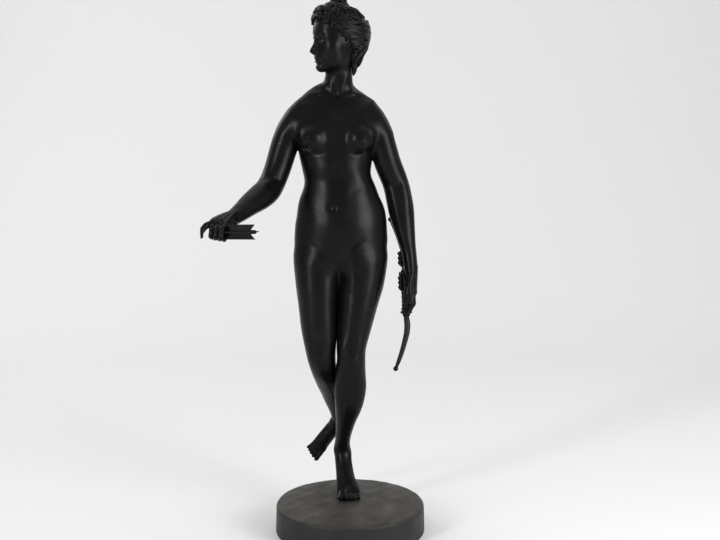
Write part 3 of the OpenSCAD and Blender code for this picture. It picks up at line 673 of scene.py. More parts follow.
class Digits:
    """Fingers or toes on a layer of their own, and the nails that they get at the end."""

    def __init__(self, clay):
        self.clay, self.layer, self.nails = clay, clay.layer(), []

    def add(self, joints, first, last, nail=None):
        """A digit: thicker at its joints, slimmer between them."""
        joints = np.array(joints)
        radii = np.linspace(first, last, len(joints))[:, None]
        rows = np.hstack([joints, radii]).repeat(2, axis=0)[:-1]
        rows[1::2] = np.hstack([(joints[:-1] + joints[1:]) / 2, radii[:-1] * 0.9])
        self.layer.rod(rows[:, :3], rows[:, 3], 3)
        steps = np.diff(joints, axis=0)
        self.nails.append((joints[-1], *(nail or (steps[-1], steps[-2], last))))

    def join(self, soft):
        self.clay.merge(self.layer.field, soft)

    def set_nails(self):
        """Thin nails in the tops of the tips: along, above and the radius of the tip."""
        for tip, along, above, radius in self.nails:
            ahead = unit(along)
            above = unit(above - (above @ ahead) * ahead)
            centre = tip + above * radius * 0.78 - ahead * radius * 0.05
            size = (radius * 0.62, radius * 0.95, 0.45)
            self.clay.join(ball(centre, size, (np.cross(ahead, above), ahead, above)), 0.2)


# ---- Legs ----
def keep_clear(clay, other):
    """Holds a leg on its own side of the face halfway to the other leg."""
    clay.field = np.maximum(clay.field, (clay.field - other) / 2 + 0.02)


def standing_leg():
    clay = Clay((-36, -14, 28), (42, 60, 248), 0.5)
    clay.field = clay.loft(STANDING_LEG, FRONT, 8)
    other = clay.loft(TRAILING_LEG[:9], FRONT, 8)
    # Knee and calf
    clay.swell(clay.front(1.6, 174), 1.0, 8)
    for side in SIDES:
        rim = clay.fronts(((6, 184), (8.5, 176), (6, 166.5)), 1.4, side)
        clay.crease(rim, (0, -0.45, 0), 2.8)
    clay.swell(clay.front(1.2, 161), 0.5, (5, 6, 6))
    for side in SIDES:
        clay.swell((1.8 + side * 9, -8, 188), 1.0, (5, 7, 9))
        clay.swell((-0.5 + side * 8, 24, 144 + side * 3), 1.8, (7, 9, 17))
        hollow = [(1.5 + side * 8, 15, 186), (1.2 + side * 8.5, 17, 174), (1 + side * 8, 20, 164)]
        clay.crease(hollow, 0.8, 3)
    clay.swell(clay.back(1.4, 176), -1.6, (6, 6, 12))
    clay.crease([clay.back(-0.5, s, 14) for s in (150, 138, 126)], -0.8, 3)
    shin = ((0.2, 158, 6), (-1.6, 135, 12), (-4.6, 108, 20), (-8, 84, 30))
    clay.crease([clay.front(*p) for p in shin], 0.7, 3)
    # Ankle, heel cord and heel
    clay.swell((-16.4, 38, 71), 1.1, 5)
    clay.swell((-1.4, 41, 68), 1.0, 5)
    for side in SIDES:
        cord = [(-8 + side * 6, 43, 96), (-8.5 + side * 6.4, 47.5, 84), (-8.5 + side * 7, 49, 74)]
        clay.crease(cord, -0.9, 2.6)
    clay.crease([(-7.4, 43.5, 100), (-8.6, 50.5, 82), (-8.4, 52, 72)], 0.5, 3)
    # Foot: tendons fan out to the toes, which stand on the base
    toes = Digits(clay)
    for x, radius, length in ((-8.5, 3.1, 6), (-3.2, 2.5, 6.5), (1, 2.3, 6), (4.8, 2.1, 4.5), (8, 2, 2.5)):
        tip = (x * 1.1, -1 - length, BASE_TOP + 0.2 + radius * 0.86)
        joints = [(x, 5, 35.3), (x * 1.05, -0.5, 34.7 + radius * 0.12), tip]
        toes.add(joints, radius + 0.3, radius * 0.96, (vec(0, -1, -0.35), vec(0, -0.3, 1), radius))
        tendon = [(-4.6 + x * 0.45, 21, 44.5), (-3.6 + x * 0.68, 13, 39.5), (x * 0.98, 5.5, 36)]
        clay.crease(clay.skins(tendon, vec(0, -0.45, 0.9), 20), (0, 0.45, 0.6), 1.35)
    clay.swell((-14, 4, 35.5), 1.3, (4, 5, 4))
    clay.swell((10.5, 6, 34.5), 0.9, (4, 5, 3.4))
    clay.crease(clay.skins([(-14 + k * 6, 2, 34.5) for k in range(5)], UP, 60), -0.35, 1.4)
    toes.join(1.0)
    toes.set_nails()
    keep_clear(clay, other)
    cuts = [((0, 0, THIGH_SEAM_Z), (0, 0, 1)), ((0, 0, BASE_TOP + 0.03), (0, 0, -1))]
    clay.cast("standing_leg", "standing_leg_casting", cuts)


def trailing_leg():
    clay = Clay((-56, -19, 42), (0, 108, 248), 0.5)
    clay.field = clay.loft(TRAILING_LEG, FRONT, 8)
    other = clay.loft(STANDING_LEG[:10], FRONT, 8)
    # Knee and calf
    clay.swell(clay.front(-29, 176, 7), 1.2, 8)
    for side in SIDES:
        clay.crease(clay.fronts(((7, 184), (8, 177), (6, 169)), -29, side), (0, -0.4, 0), 2.6)
        clay.swell((-29 + side * 9, -3, 189), 0.7, (5, 7, 9))
        clay.swell((-20 + side * 8, 47, 150), 1.6, (6, 13, 10))
        hollow = [(-29 + side * 9, 19, 192), (-27.5 + side * 9, 24, 180), (-25 + side * 9, 30, 170)]
        clay.crease(hollow, 0.8, 3)
    clay.swell(clay.front(-27.5, 164, 12), 0.8, (5, 6, 5))
    clay.swell(clay.back(-29, 182, 8), -1.8, (7, 7, 9))
    shin = [(-26.6, 16, 164), (-22.5, 26, 150), (-18.5, 39, 134), (-15, 58, 116)]
    clay.crease(clay.skins(shin, vec(0, -1, -0.6), 60), 0.6, 3)
    # Ankle and heel
    clay.swell((-5.4, 78, 93), 1.2, 4.4)
    clay.swell((-21.5, 76, 92), 1.1, 4.4)
    for side in SIDES:
        cord = [(-13 + side * 6, 79, 112), (-13.5 + side * 6.4, 85, 101), (-15 + side * 7, 89, 93)]
        clay.crease(cord, -1.0, 2.4)
    toe_row = vec(*TRAILING_LEG[-1][:3])
    across, ahead = unit(vec(0.76, -0.1, -0.64)), unit(vec(-0.62, 0.16, -0.77))
    above = unit(np.cross(across, ahead))
    above *= -np.sign(above[1])
    toes = Digits(clay)
    row = ((5.4, 2.9, 8), (1.6, 2.4, 7.6), (-1.6, 2.2, 6.6), (-4.4, 2, 5.2), (-6.9, 1.9, 4))
    for side, radius, length in row:
        root = toe_row + across * side - ahead * 7
        middle = toe_row + across * side * 1.1 + above * 0.5
        tip = toe_row + across * side * 1.22 + ahead * (length - 0.8) - above * 0.6
        nail = (ahead - above * 0.2, above, radius)
        toes.add([root, middle, tip], radius + 0.2, radius * 0.95, nail)
        tendon = [(-24, 84, 77) + across * side * 0.55, (-29, 86, 69.5) + across * side * 0.8, root]
        clay.crease(clay.skins(tendon, above, 14), 0.6, 1.35)
    clay.swell(toe_row - ahead * 6 + across * 8, 1.2, 4)
    # The sole: heel pad, arch and ball of the foot
    sole = (
        ((-26.5, 86, 73), -1.5, (6, 6, 8)), ((-34, 88, 63), 0.9, (6, 5, 5)),
        ((-17.5, 84, 87), 0.8, (6, 5, 6)),
    )
    for spot, height, spread in sole:
        clay.swell(clay.skin(spot, -above, 20), height, spread)
    toes.join(0.6)
    toes.set_nails()
    keep_clear(clay, other)
    clay.cast("trailing_leg", "trailing_leg_casting", [((0, 0, THIGH_SEAM_Z), (0, 0, 1))])


# ---- Arms ----
def right_arm():
    clay = Clay((-134, -104, 294), (-48, 26, 396), 0.46)
    # The upper part faces front, as the trunk's side of the seam does
    share = fade(clay.grid()[2], 372, 384)
    upper, lower = clay.loft(RIGHT_ARM[:7], FRONT, 8), clay.loft(RIGHT_ARM, HAND_UP, 8)
    clay.field = lower * (1 - share) + upper * share
    # Elbow, forearm and wrist
    clay.swell((-79, 11, 345), 0.8, (8, 8, 8))
    clay.crease([(-71, -11, 356), (-76, -13, 353), (-83, -13, 353)], -0.5, 3)
    clay.swell((-84, -17, 348), 1.0, (6, 9, 5))
    clay.swell((-104, -50, 330), 0.9, (3.4, 4, 3.4))
    clay.swell((-111, -51, 321), 1.2, (3, 3.4, 3))
    ahead, thumbward = unit(vec(-0.42, -0.86, -0.3)), unit(vec(0.87, -0.44, -0.1))
    down = np.cross(thumbward, ahead)
    row = vec(*RIGHT_ARM[-1][:3])
    fingers = Digits(clay)
    for k in range(3):
        p = row + thumbward * (6.5 - 5.2 * k) - ahead * 3
        bent = [p, p + ahead * 9 + down * 1, p + ahead * 12 + down * 8, p + ahead * 7 + down * 11.5]
        fingers.add(bent, 3, 2.5)
        clay.swell(p + ahead * 1 - down * 3, 0.9, 2.6)
        wrist = vec(*RIGHT_ARM[10][:3]) + thumbward * (2.6 - 2.1 * k)
        clay.crease(clay.skins([wrist, (wrist + p) / 2 + ahead * 1, p], -down, 12), 0.55, 1.3)
    p = row - thumbward * 9 - ahead * 3
    middle, bend = p + ahead * 9 - thumbward * 1.6, p + ahead * 15 - thumbward * 4 + down * 4
    fingers.add([p, middle, bend, p + ahead * 15.5 - thumbward * 4.5 + down * 8], 3.3, 2.6)
    clay.swell(p + ahead * 1 - down * 3, 0.8, 2.4)
    p = row + thumbward * 8 - ahead * 12 + down * 2
    bend, tip = p + ahead * 7 + thumbward * 2.6 + down * 3, p + ahead * 13 + thumbward * 1.5 + down * 7
    fingers.add([p, bend, tip], 3.4, 2.5, (tip - bend, thumbward, 2.5))
    clay.swell(p + down * 2, 1.2, (5, 6, 4.5))
    fingers.join(1.2)
    fingers.set_nails()
    seam, along = RIGHT_ARM[RIGHT_SEAM[1]][:3], heading(*RIGHT_SEAM)
    clay.cast("right_arm", "right_arm_casting", [(seam + along * 0.25, -along)])


def left_arm():
    clay = Clay((18, -14, 212), (80, 42, 380), 0.46)
    clay.field = clay.loft(LEFT_ARM, FRONT, 8)
    clay.swell((50, 27, 344), 0.9, (7, 7, 8))
    clay.crease([(36, 5, 349), (42, 2.5, 347), (49, 3.5, 349)], -0.7, 3)
    clay.crease([(40, 3, 343), (44, 2.5, 330), (49.5, 3, 312), (55, 3.5, 292)], 0.6, 3.6)
    clay.swell((56, 5, 336), 1.4, (6, 6, 13))
    clay.swell((65.5, 14, 283), 0.6, 4)
    clay.swell((57, 18, 281), 1.2, 3.2)
    row = vec(*LEFT_ARM[-1][:3])
    fingers = Digits(clay)
    for k in range(4):
        p = row + vec(0.6, -7.2 + 4.9 * k, 3)
        fingers.add(p + np.array([(0, 0, 0), (0.6, 0, -10), (-2.6, 0, -15.5), (-8, 0, -17)]), 3, 2.4)
        clay.swell(p + vec(3.4, 0, 0), 0.9, 2.6)
        tendon = [(61, 6 + 2.6 * k, 268), (62, 3 + 4.1 * k, 254), p]
        clay.crease(clay.skins(tendon, vec(1, 0, 0), 14), 0.55, 1.3)
    thumb = row + np.array([(-1, -8, 22), (-3.5, -11.5, 13), (-5.5, -12, 3), (-6.5, -10.5, -5)])
    fingers.add(thumb, 3.9, 2.8, (thumb[3] - thumb[2], FRONT, 2.8))
    fingers.join(1.2)
    clay.join(ball((59.5, 2, 241), (4, 8, 11)), 3)
    clay.crease([(57, -3, 265), (56.5, -4.5, 256), (56, -2, 247)], -0.8, 1.8)
    fingers.set_nails()
    cuts = [(LEFT_ARM[LEFT_SEAM[1]][:3], -heading(*LEFT_SEAM))]
    clay.cast("left_arm", "left_arm_casting", cuts)


# ---- Head ----
HEAD_AT = vec(-10.5, 4, 492.5)
HEAD_TURN = math.radians(-62)
AHEAD = vec(math.sin(HEAD_TURN), -math.cos(HEAD_TURN), 0)
LEFTWARD = np.cross(UP, AHEAD)
HEAD_AXES = (LEFTWARD, AHEAD, UP)
HEAD_BLOCK = ((-52, -34, 444), (30, 42, 526), 0.4)


def on_head(side, ahead, up):
    """A point given as leftward, forward and up from the middle of the head."""
    return HEAD_AT + LEFTWARD * side + AHEAD * ahead + UP * up


def head_ball(at, size):
    return ball(on_head(*at), size, HEAD_AXES)


FACE_SIZE = 1.12
FACE_AT = on_head(0, -2.6, -2)


def on_face(side, ahead, up):
    """A point of the face, which is laid out from its own middle and to its own scale."""
    return FACE_AT + (LEFTWARD * side + AHEAD * ahead + UP * up) * FACE_SIZE


def face_ball(at, size):
    return ball(on_face(*at), np.multiply(size, FACE_SIZE), HEAD_AXES)


def face_line(*points, side=1):
    return [on_face(side * p[0], p[1], p[2]) for p in points]


def head():
    clay = Clay(*HEAD_BLOCK)
    clay.field = clay.loft(TRUNK, FRONT, 6)
    neck_tendons(clay)
    skull = clay.layer()
    skull.join(head_ball((0, 1, 3), (19.3, 24, 26)), 1)
    skull.join(face_ball((0, 8, -5), (16.4, 17, 21)), 6)
    skull.join(face_ball((0, 9.5, -15.5), (13.6, 13.6, 12.8)), 7)
    skull.join(face_ball((0, 19.8, -25), (4.6, 4.2, 4)), 6)
    skull.join(face_ball((0, 10, 10), (15.6, 13.6, 12.5)), 6)
    for side in SIDES:
        skull.join(face_ball((side * 10.5, 13.5, -7.5), (6, 6.4, 6)), 6)
        skull.cut(face_ball((side * 7.2, 26.6, -0.6), (5.6, 5.2, 3.8)), 3)
        skull.join(face_ball((side * 7.1, 17.6, -1.3), 4.9), 0.4)
    lids, brows, nose, lips = (clay.layer() for _ in range(4))
    upper_lid = (3.6, 21.4, -2.1), (5.2, 22.6, 0.2), (7.6, 22.5, 0.9), (9.7, 21, -0.2), (11.2, 19, -1.9)
    lower_lid = (3.6, 21.4, -2.1), (5.6, 22, -3.6), (8, 21.6, -3.9), (10, 20.2, -3.2), (11.2, 19, -1.9)
    brow = (2.4, 21.6, 2.2), (6.4, 21.6, 4.4), (10.5, 19.2, 4.6), (13.2, 15.8, 2.8)
    upper_lip = (0, 24.4, -17.5), (1.8, 24.3, -17.2), (5.3, 21.9, -18.7)
    lower_lip = (0, 23.8, -20.1), (2.4, 23.3, -20), (5, 21.6, -19)
    for side in SIDES:
        lids.rod(face_line(*upper_lid, side=side), [0.6, 0.95, 1.1, 0.95, 0.5])
        lids.rod(face_line(*lower_lid, side=side), [0.5, 0.7, 0.75, 0.65, 0.5])
        brows.rod(face_line(*brow, side=side), [0.9, 1.1, 1.0, 0.6])
        lips.rod(face_line(*upper_lip, side=side), [1.15, 1.2, 0.5])
        lips.rod(face_line(*lower_lip, side=side), [1.45, 1.3, 0.6])
    skull.merge(lids.field, 0.35)
    for side in SIDES:
        fold = face_line((4.2, 22, 2.2), (7.4, 22.6, 3.1), (10.6, 20.4, 1.8), side=side)
        skull.crease(fold, -0.4, 0.8)
    skull.merge(brows.field, 3)
    bridge = (0, 20.4, 5), (0, 21.9, 0.5), (0, 24.6, -5), (0, 27.2, -9.6), (0, 28.2, -11.6)
    nose.rod(face_line(*bridge), [2.2, 1.9, 1.9, 2.2, 2.3])
    skull.merge(nose.field, 2.4)
    for side in SIDES:
        skull.join(face_ball((side * 2.7, 25.3, -12.6), (1.7, 2.4, 1.7)), 1.4)
        skull.cut(face_ball((side * 1.4, 26.4, -14.3), (0.8, 1.5, 0.8)), 0.5)
        cheek = face_line((4.2, 24.2, -11.6), (5.2, 22.8, -14.8), (6.6, 21.4, -17.6), side=side)
        skull.crease(cheek, -0.35, 1.5)
    skull.crease(face_line((0, 25.8, -14.8), (0, 26, -16.4)), -0.35, 0.9)
    skull.merge(lips.field, 0.8)
    mouth = (-5.6, 22.6, -18.8), (-2, 25.6, -18.6), (0, 25.9, -18.8), (2, 25.6, -18.6), (5.6, 22.6, -18.8)
    skull.crease(face_line(*mouth), -0.7, 0.7)
    skull.crease(face_line((-3.4, 22.6, -22.4), (0, 23.6, -22.7), (3.4, 22.6, -22.4)), -0.7, 1.6)
    # Ears
    outline = [
        (17.4, 3.6, -9.4), (18, 4.4, -5.6), (18.8, 4.2, -1.6), (20.2, 2, 1.2), (21.4, -1.4, 1),
        (21.6, -2.8, -2.6), (20.4, -2, -6.4), (18.8, 0.8, -10.2),
    ]
    inner = [(18.4, 1.8, -7.8), (19.4, -0.4, -5.2), (19.6, -0.2, -1.6)]
    for side in SIDES:
        ear = clay.layer()
        rim = [on_head(side * p[0], p[1], p[2]) for p in outline]
        ear.rod(rim, [1.1, 0.8, 0.85, 0.95, 1, 0.95, 0.95, 1.7])
        ear.rod([on_head(side * p[0], p[1], p[2]) for p in inner], 0.8)
        skull.join(head_ball((side * 18, 0.8, -4.4), (2.0, 3.8, 5.4)), 1.2)
        skull.merge(ear.field, 0.5)
        skull.cut(head_ball((side * 19.8, 2.2, -4.6), (1.6, 1.1, 1.7)), 0.5)
    clay.merge(skull.field, 5)
    clay.cast("head", "head_casting", [((0, 0, TRUNK[NECK_STATION][2]), (0, 0, -1))])


# ---- Hair ----
HAIR_MIDDLE = on_head(0, -4, 3)


def lie_on(clay, point, proud):
    """The place on the hair's surface that a point (leftward, forward, up) is nearest to."""
    out = unit(on_head(*point) - HAIR_MIDDLE)
    return clay.skin(HAIR_MIDDLE, out, 45) + out * proud, out


def comb(layer, cap, stops, thick, rng, proud, sway=0.7):
    """A wavy strand over the hair through stops."""
    phase, rate = rng.uniform(0, 6.3), rng.uniform(3.4, 5.2)
    stops = smooth_path(stops, 4)
    line, radii = [], []
    for j, stop in enumerate(stops):
        t = j / (len(stops) - 1)
        wave = sway * math.sin(rate * t * 3 + phase)
        line.append(lie_on(cap, stop, proud)[0] + UP * wave * math.sin(math.pi * t))
        radii.append(thick * (0.62 + 0.38 * math.sin(math.pi * min(1, 0.12 + t * 0.95))))
    layer.rod(line, radii, 2, 2.0)


def curl(layer, middle, outward, radius, thick, phase, turns, way=1):
    """A coil of hair that lies on the head and rises to its middle."""
    side = unit(np.cross(outward, UP + vec(0.01, 0.02, 0)))
    above = np.cross(side, outward)
    line, radii = [], []
    for j in range(14):
        t = j / 13
        turn = way * (phase + t * turns * 2 * math.pi)
        r = radius * (1 - 0.75 * t)
        round_it = side * r * math.cos(turn) + above * r * math.sin(turn)
        line.append(middle + round_it + outward * 1.3 * t)
        radii.append(thick * (1 - 0.25 * t))
    layer.rod(line, radii, 2, 2.0)


def hair():
    rng = random.Random(7)
    clay = Clay(*HEAD_BLOCK)
    cap = clay.layer()
    cap.join(head_ball((0, 0, 4.5), (20.8, 24.6, 25.8)), 0.5)
    cap.join(head_ball((0, -10, 4), (20.6, 20.5, 22.5)), 4)
    cap.join(head_ball((0, 11.5, 15.5), (16, 13.5, 12.5)), 4)
    cap.join(head_ball((0, -16, -13), (12.5, 10.5, 11.5)), 6)
    cap.join(head_ball((1, -12.5, -21), (10.5, 8.5, 9.5)), 5)
    # Nothing of the hair's body lies before the hairline or under the nape
    x, y, z = clay.grid()
    ahead = (x - HEAD_AT[0]) * AHEAD[0] + (y - HEAD_AT[1]) * AHEAD[1]
    up = z - HEAD_AT[2]
    edge = np.maximum(23.5 + 1.45 * (up - 15.5), -2 + 0.45 * (up + 8))
    hairline = (ahead - edge) * 0.6
    nape = -(up + 28.5) + (ahead + 18) * 0.35
    body = -smooth_min(-cap.field, -hairline, 1.2)
    clay.field = -smooth_min(-body, -nape, 1.2)
    for way in SIDES:
        clay.cut(head_ball((way * 21, 1.5, -6.5), (7, 5.6, 6.6)), 1.5)
    strands = clay.layer()
    # Locks combed back from the temple, over the top of the ear and round to the back
    starts = (
        (9, 16.5, 18), (12, 13.6, 14), (14, 12, 10.5), (15.8, 9.6, 7), (17, 7, 3.6), (17.8, 4.6, 1),
        (18.6, 1.6, 0.2), (18.6, -3.6, -4.5), (17.4, -5.6, -10), (14.5, -9, -15.5), (11.5, -12, -20),
        (7, -15, -22.5),
    )
    for way in SIDES:
        for k, start in enumerate(starts):
            share = k / (len(starts) - 1)
            end = (way * (2 + 3 * share), -29, 13 - 22 * share)
            halfway = (start[1] + end[1]) / 2 - 2
            middle = (way * (19.5 - 5 * share * share), halfway, 12.5 - 27 * share)
            stops = [(way * start[0], start[1], start[2]), middle, end]
            for shift in (-1.7, 0, 1.7):
                moved = [(p[0], p[1], p[2] + shift) for p in stops]
                thick = rng.uniform(1.0, 1.75)
                comb(strands, cap, moved, thick, rng, rng.uniform(0.3, 1.5), 1.5)
    # The crown, combed up to the knot
    for k in range(22):
        a = 2 * math.pi * k / 22
        out = (20 * math.sin(a), 21 * math.cos(a) - 3, 15 - 3 * math.cos(a))
        stops = [out, (out[0] * 0.62, out[1] * 0.6, 25), (out[0] * 0.3, out[1] * 0.3, 29)]
        comb(strands, cap, stops, 1.25, rng, 0.4)
    # Curls along the forehead and temples, and two rows behind them
    rows = (
        # count, half arc, spread to the side and ahead, middle, rise, sizes, thickness, proud
        (17, 98, (17.5, 19.5), 4.5, (2.5, 14.5), (2.0, 3.3), (1.1, 1.6), (0.2, 1.0)),
        (14, 92, (16, 16), 2.5, (13, 9.5), (2.6, 4.2), (1.4, 2.0), (0.6, 1.8)),
        (11, 100, (11, 11), 0.5, (24, 4), (2.8, 4.2), (1.5, 2.1), (0.4, 1.6)),
    )
    for count, half, wide, middle, rise, sizes, thicks, prouds in rows:
        for k in range(count):
            a = math.radians(-half + 2 * half * k / (count - 1) + rng.uniform(-4, 4))
            up_at = rise[0] + rise[1] * math.cos(a) + rng.uniform(-1.5, 1.5)
            spot = (wide[0] * math.sin(a), wide[1] * math.cos(a) + middle, up_at)
            p, out = lie_on(cap, spot, rng.uniform(*prouds))
            size, thick, phase = rng.uniform(*sizes), rng.uniform(*thicks), rng.uniform(0, 6.3)
            turns = rng.uniform(0.75, 1.3)
            curl(strands, p, out, size, thick, phase, turns, rng.choice(SIDES))
    # Loose curls and a tail at the nape
    for side, forward, rise in ((8.5, -13.5, -25.5), (3, -17.5, -27.5), (-4, -17.5, -27), (-9, -13, -25)):
        p = on_head(side, forward, rise)
        curl(strands, p, unit(p - on_head(0, -2, rise + 3)), 2.0, 1.15, rng.uniform(0, 6.3), 1.5)
    tail = (8.6, -12, -25), (9.6, -12.2, -29), (8.2, -12.4, -33), (8.8, -11.2, -37)
    strands.rod([on_head(*p) for p in tail], [3.0, 2.6, 2.3, 0.8], 4, 2.0)
    # The plaited knot of hair at the back, a rope of three strands in a coil
    middle = on_head(0, -26, 5.5)
    for strand in range(3):
        line, radii = [], []
        for t in np.arange(64) / 63:
            turn = 2.4 * 2 * math.pi * t
            twist = turn * 3.1 + strand * 2 * math.pi / 3
            r = 11.6 * (1 - 0.86 * t) + 1.15 * math.cos(twist)
            out = -1.0 + 3.4 * t + 1.15 * math.sin(twist)
            line.append(middle + LEFTWARD * r * math.cos(turn) + UP * r * math.sin(turn) - AHEAD * out)
            radii.append(1.5 - 0.3 * t)
        strands.rod(line, radii, 1, 2.0)
    clay.merge(strands.field, 0.5)
    clay.cast("hair", "head_casting")


def hair_knot():
    rng = random.Random(21)
    clay = Clay((-32, -16, 506), (10, 26, 537), 0.34)
    middle = vec(-11, 5, 519)
    clay.join(ball(middle + vec(0, 0, 3.5), 8), 0.5)
    loops = clay.layer()
    # Rings of curls: radius, count, height, size, thickness, turned by this part of a step
    rings = (8.2, 7, 2.5, 3.8, 1.9, 0), (5.6, 5, 8.5, 3.4, 1.8, 0), (1, 1, 12.8, 3, 1.6, 0.5)
    for radius, count, high, size, thick, offset in rings:
        for k in range(count):
            a = 2 * math.pi * (k + offset) / count
            out = unit(vec(math.cos(a), math.sin(a), 0.5))
            at = middle + vec(math.cos(a) * radius, math.sin(a) * radius, high)
            phase = rng.uniform(0, 6.3)
            curl(loops, at, out, size, thick, phase, 1.25, rng.choice(SIDES))
    for k in range(14):
        a = 2 * math.pi * k / 14
        out = vec(math.cos(a), math.sin(a), 0)
        lock = [middle + out * r + UP * z for r, z in ((9.2, -6), (7.6, -1), (6, 3))]
        loops.rod(lock, [1.1, 1.4, 1.2], 3, 2.0)
    clay.merge(loops.field, 0.6)
    clay.cast("crown_knot", "hair_knot")


# ---- Bow and arrow ----
BOW_MIDDLE = vec(43, 10, 240.5)
BOW_BACK, BOW_SIDE = math.radians(-14), math.radians(-1.8)
BOW_HALF = 78
GRIP_OFF = 12.8
# Each row: share of the half length, offset, half width, half depth
LIMB = [
    [0.27, 12.1, 2.4, 2.3], [0.34, 12.9, 2.9, 2.4], [0.42, 13.3, 3.1, 2.3], [0.52, 12.4, 2.9, 2.1],
    [0.61, 10.5, 2.7, 1.9], [0.7, 8.4, 2.5, 1.8], [0.79, 6, 2.3, 1.7], [0.88, 3.2, 2, 1.6],
    [0.95, 0.7, 1.6, 1.5], [0.99, 0.2, 1.5, 1.4],
]


def bow_axes():
    """The bow's own x, y and z as rows."""
    cx, sx = math.cos(BOW_BACK), math.sin(BOW_BACK)
    cy, sy = math.cos(BOW_SIDE), math.sin(BOW_SIDE)
    about_x = np.array([[1, 0, 0], [0, cx, -sx], [0, sx, cx]])
    about_y = np.array([[cy, 0, sy], [0, 1, 0], [-sy, 0, cy]])
    return (about_y @ about_x).T


BOW_AXES = bow_axes()


def on_bow(x, y, z):
    return BOW_MIDDLE + vec(x, y, z) @ BOW_AXES


def bow_limb(name, node, way):
    """A flat-backed recurved limb with a beaded edge and a round tip."""
    ends = [on_bow(0, 0, way * BOW_HALF), on_bow(GRIP_OFF, 0, way * 18)]
    clay = Clay(np.minimum(*ends) - 8, np.maximum(*ends) + 8, 0.3)
    rows = []
    for share, off, half_width, half_depth in LIMB:
        rows.append([*on_bow(off, 0, way * share * BOW_HALF), half_width, half_depth, half_depth])
    clay.field = clay.loft(rows, -BOW_AXES[1], 4)
    for edge in (-2.4, 2.4):
        clay.crease([vec(*row[:3]) + BOW_AXES[1] * edge for row in rows[1:-2]], 0.45, 0.7)
    if way > 0:
        leaves = clay.layer()
        leaf_spray(leaves, 27, 3.6)
        clay.merge(leaves.field, 0.4)
    tip = on_bow(0.2, 0, way * (BOW_HALF - 2.5))
    clay.join(ball(tip, 2.5), 0.5)
    collar = tip - way * BOW_AXES[2] * 3.4
    clay.crease([collar + vec(x, 0, 0) for x in (-2, 2)], -0.3, 0.6)
    clay.cast(name, node, passes=2)


def bow_grip():
    """The grip: bound with rings, with leaves that curl out at its upper collar and a spray of leaves up its
    side.
    """
    room, middle = vec(16, 16, 30), on_bow(GRIP_OFF, 0, 0)
    clay = Clay(middle - room, middle + room, 0.34)
    clay.rod([on_bow(GRIP_OFF, 0, -21), on_bow(GRIP_OFF, 0, 21)], 4.1, 1)
    bands = clay.layer()
    collars = [(way * z, r, thick) for z, r, thick in ((19.5, 4.9, 1.25), (16.4, 4.3, 0.9)) for way in SIDES]
    for z, r, thick in collars + [(-12.6 + 4.2 * k, 3.7, 0.9) for k in range(7)]:
        turns = np.linspace(0, 2 * math.pi, 25)
        circle = [on_bow(GRIP_OFF + r * math.cos(a), r * math.sin(a), z) for a in turns]
        bands.rod(circle, thick, 1, 1.5)
    clay.merge(bands.field, 0.5)
    leaves = clay.layer()
    rise = (4.2, 14.5), (5, 17), (5.2, 19), (5.6, 21)
    for k in range(8):
        a = 2 * math.pi * k / 8
        leaf(leaves, math.cos(a), math.sin(a), rise, (0.7, 1.1, 1, 0.6))
    leaf_spray(leaves, 2, 4.2)
    clay.merge(leaves.field, 0.4)
    clay.cast("bow_grip_ornament", "bow_grip", passes=2)


def leaf(layer, x, y, rise, radii):
    """A leaf that stands off the bow's middle line toward x, y, through (distance, height)."""
    layer.rod([on_bow(GRIP_OFF + x * r, y * r, z) for r, z in rise], radii, 3)


def leaf_spray(layer, low, stand):
    """Three curled leaves, one over another, on the side of the bow that faces the body."""
    for k in range(3):
        z = low + 4.6 * k
        rise = ((stand - 1, z), (stand + 0.8, z + 2.2), (stand + 2, z + 4), (stand + 1.5, z + 5.6))
        for side in (-0.8, 0, 0.8):
            leaf(layer, -math.cos(side), math.sin(side), rise, (1.0, 1.4, 1.2, 0.7))


ARROW_NOCK = vec(-86.5, -92, 308.7)
ARROW_END = vec(-126, -73.5, 307.5)
VANE_START, VANE_END, VANE_INNER, VANE_HEIGHT, VANE_THICK = 1.2, 32.5, 0.9, 6.8, 1.2


def arrow():
    """The shaft with its nock and binding, then four barbed vanes."""
    ahead = unit(ARROW_END - ARROW_NOCK)
    beside = unit(np.cross(ahead, UP))
    above = np.cross(beside, ahead)
    block = np.minimum(ARROW_NOCK, ARROW_END) - 9, np.maximum(ARROW_NOCK, ARROW_END) + 9, 0.28
    clay = Clay(*block)
    clay.rod([ARROW_NOCK - ahead * 2.4, ARROW_NOCK + ahead * 3, ARROW_END - ahead], [1.8, 1.8, 1.7], 1)
    turns = np.linspace(0, 2 * math.pi, 17)
    for k in (0.5, 1.6, 25.5, 27, 28.5):
        centre = ARROW_NOCK + ahead * k
        circle = [centre + 1.75 * (beside * math.cos(a) + above * math.sin(a)) for a in turns]
        clay.rod(circle, 0.42, 1, 1.5)
    clay.cast("arrow_rod", "arrow_shaft", passes=2)
    vanes = Clay(*block)
    for a in np.arange(4) * math.pi / 2:
        out = beside * math.cos(a) + above * math.sin(a)
        axes = (ahead, out, np.cross(ahead, out))
        along, height, thick = in_axes(vanes.grid(), ARROW_NOCK, axes)
        barbs = 0.16 * np.sin((along - 0.8 * height) * 4.2) * fade(height, 1.4, 2.4)
        slab = np.abs(thick) - VANE_THICK / 2 + 0.07 - barbs
        nock_end = VANE_START - 0.95 * (height - 2.6) - along
        far_end = along - VANE_END + np.maximum(height - 1.5, 0) * 0.35
        sides = (slab, height - VANE_HEIGHT, VANE_INNER - height, nock_end, far_end)
        vane = np.maximum.reduce(sides)
        vanes.field = np.minimum(vanes.field, vane.astype(np.float32))
    vanes.cast("arrow_feathers", "arrow_vanes", passes=1)


# ---- Base ----
PAD_R, DOME_FALL, RIM_EDGE, EDGE_R, WALL_R = 22, 3, 70.7, 4, 75.4
ROOF_Z, BOSS_Z = 24.5, 21.5


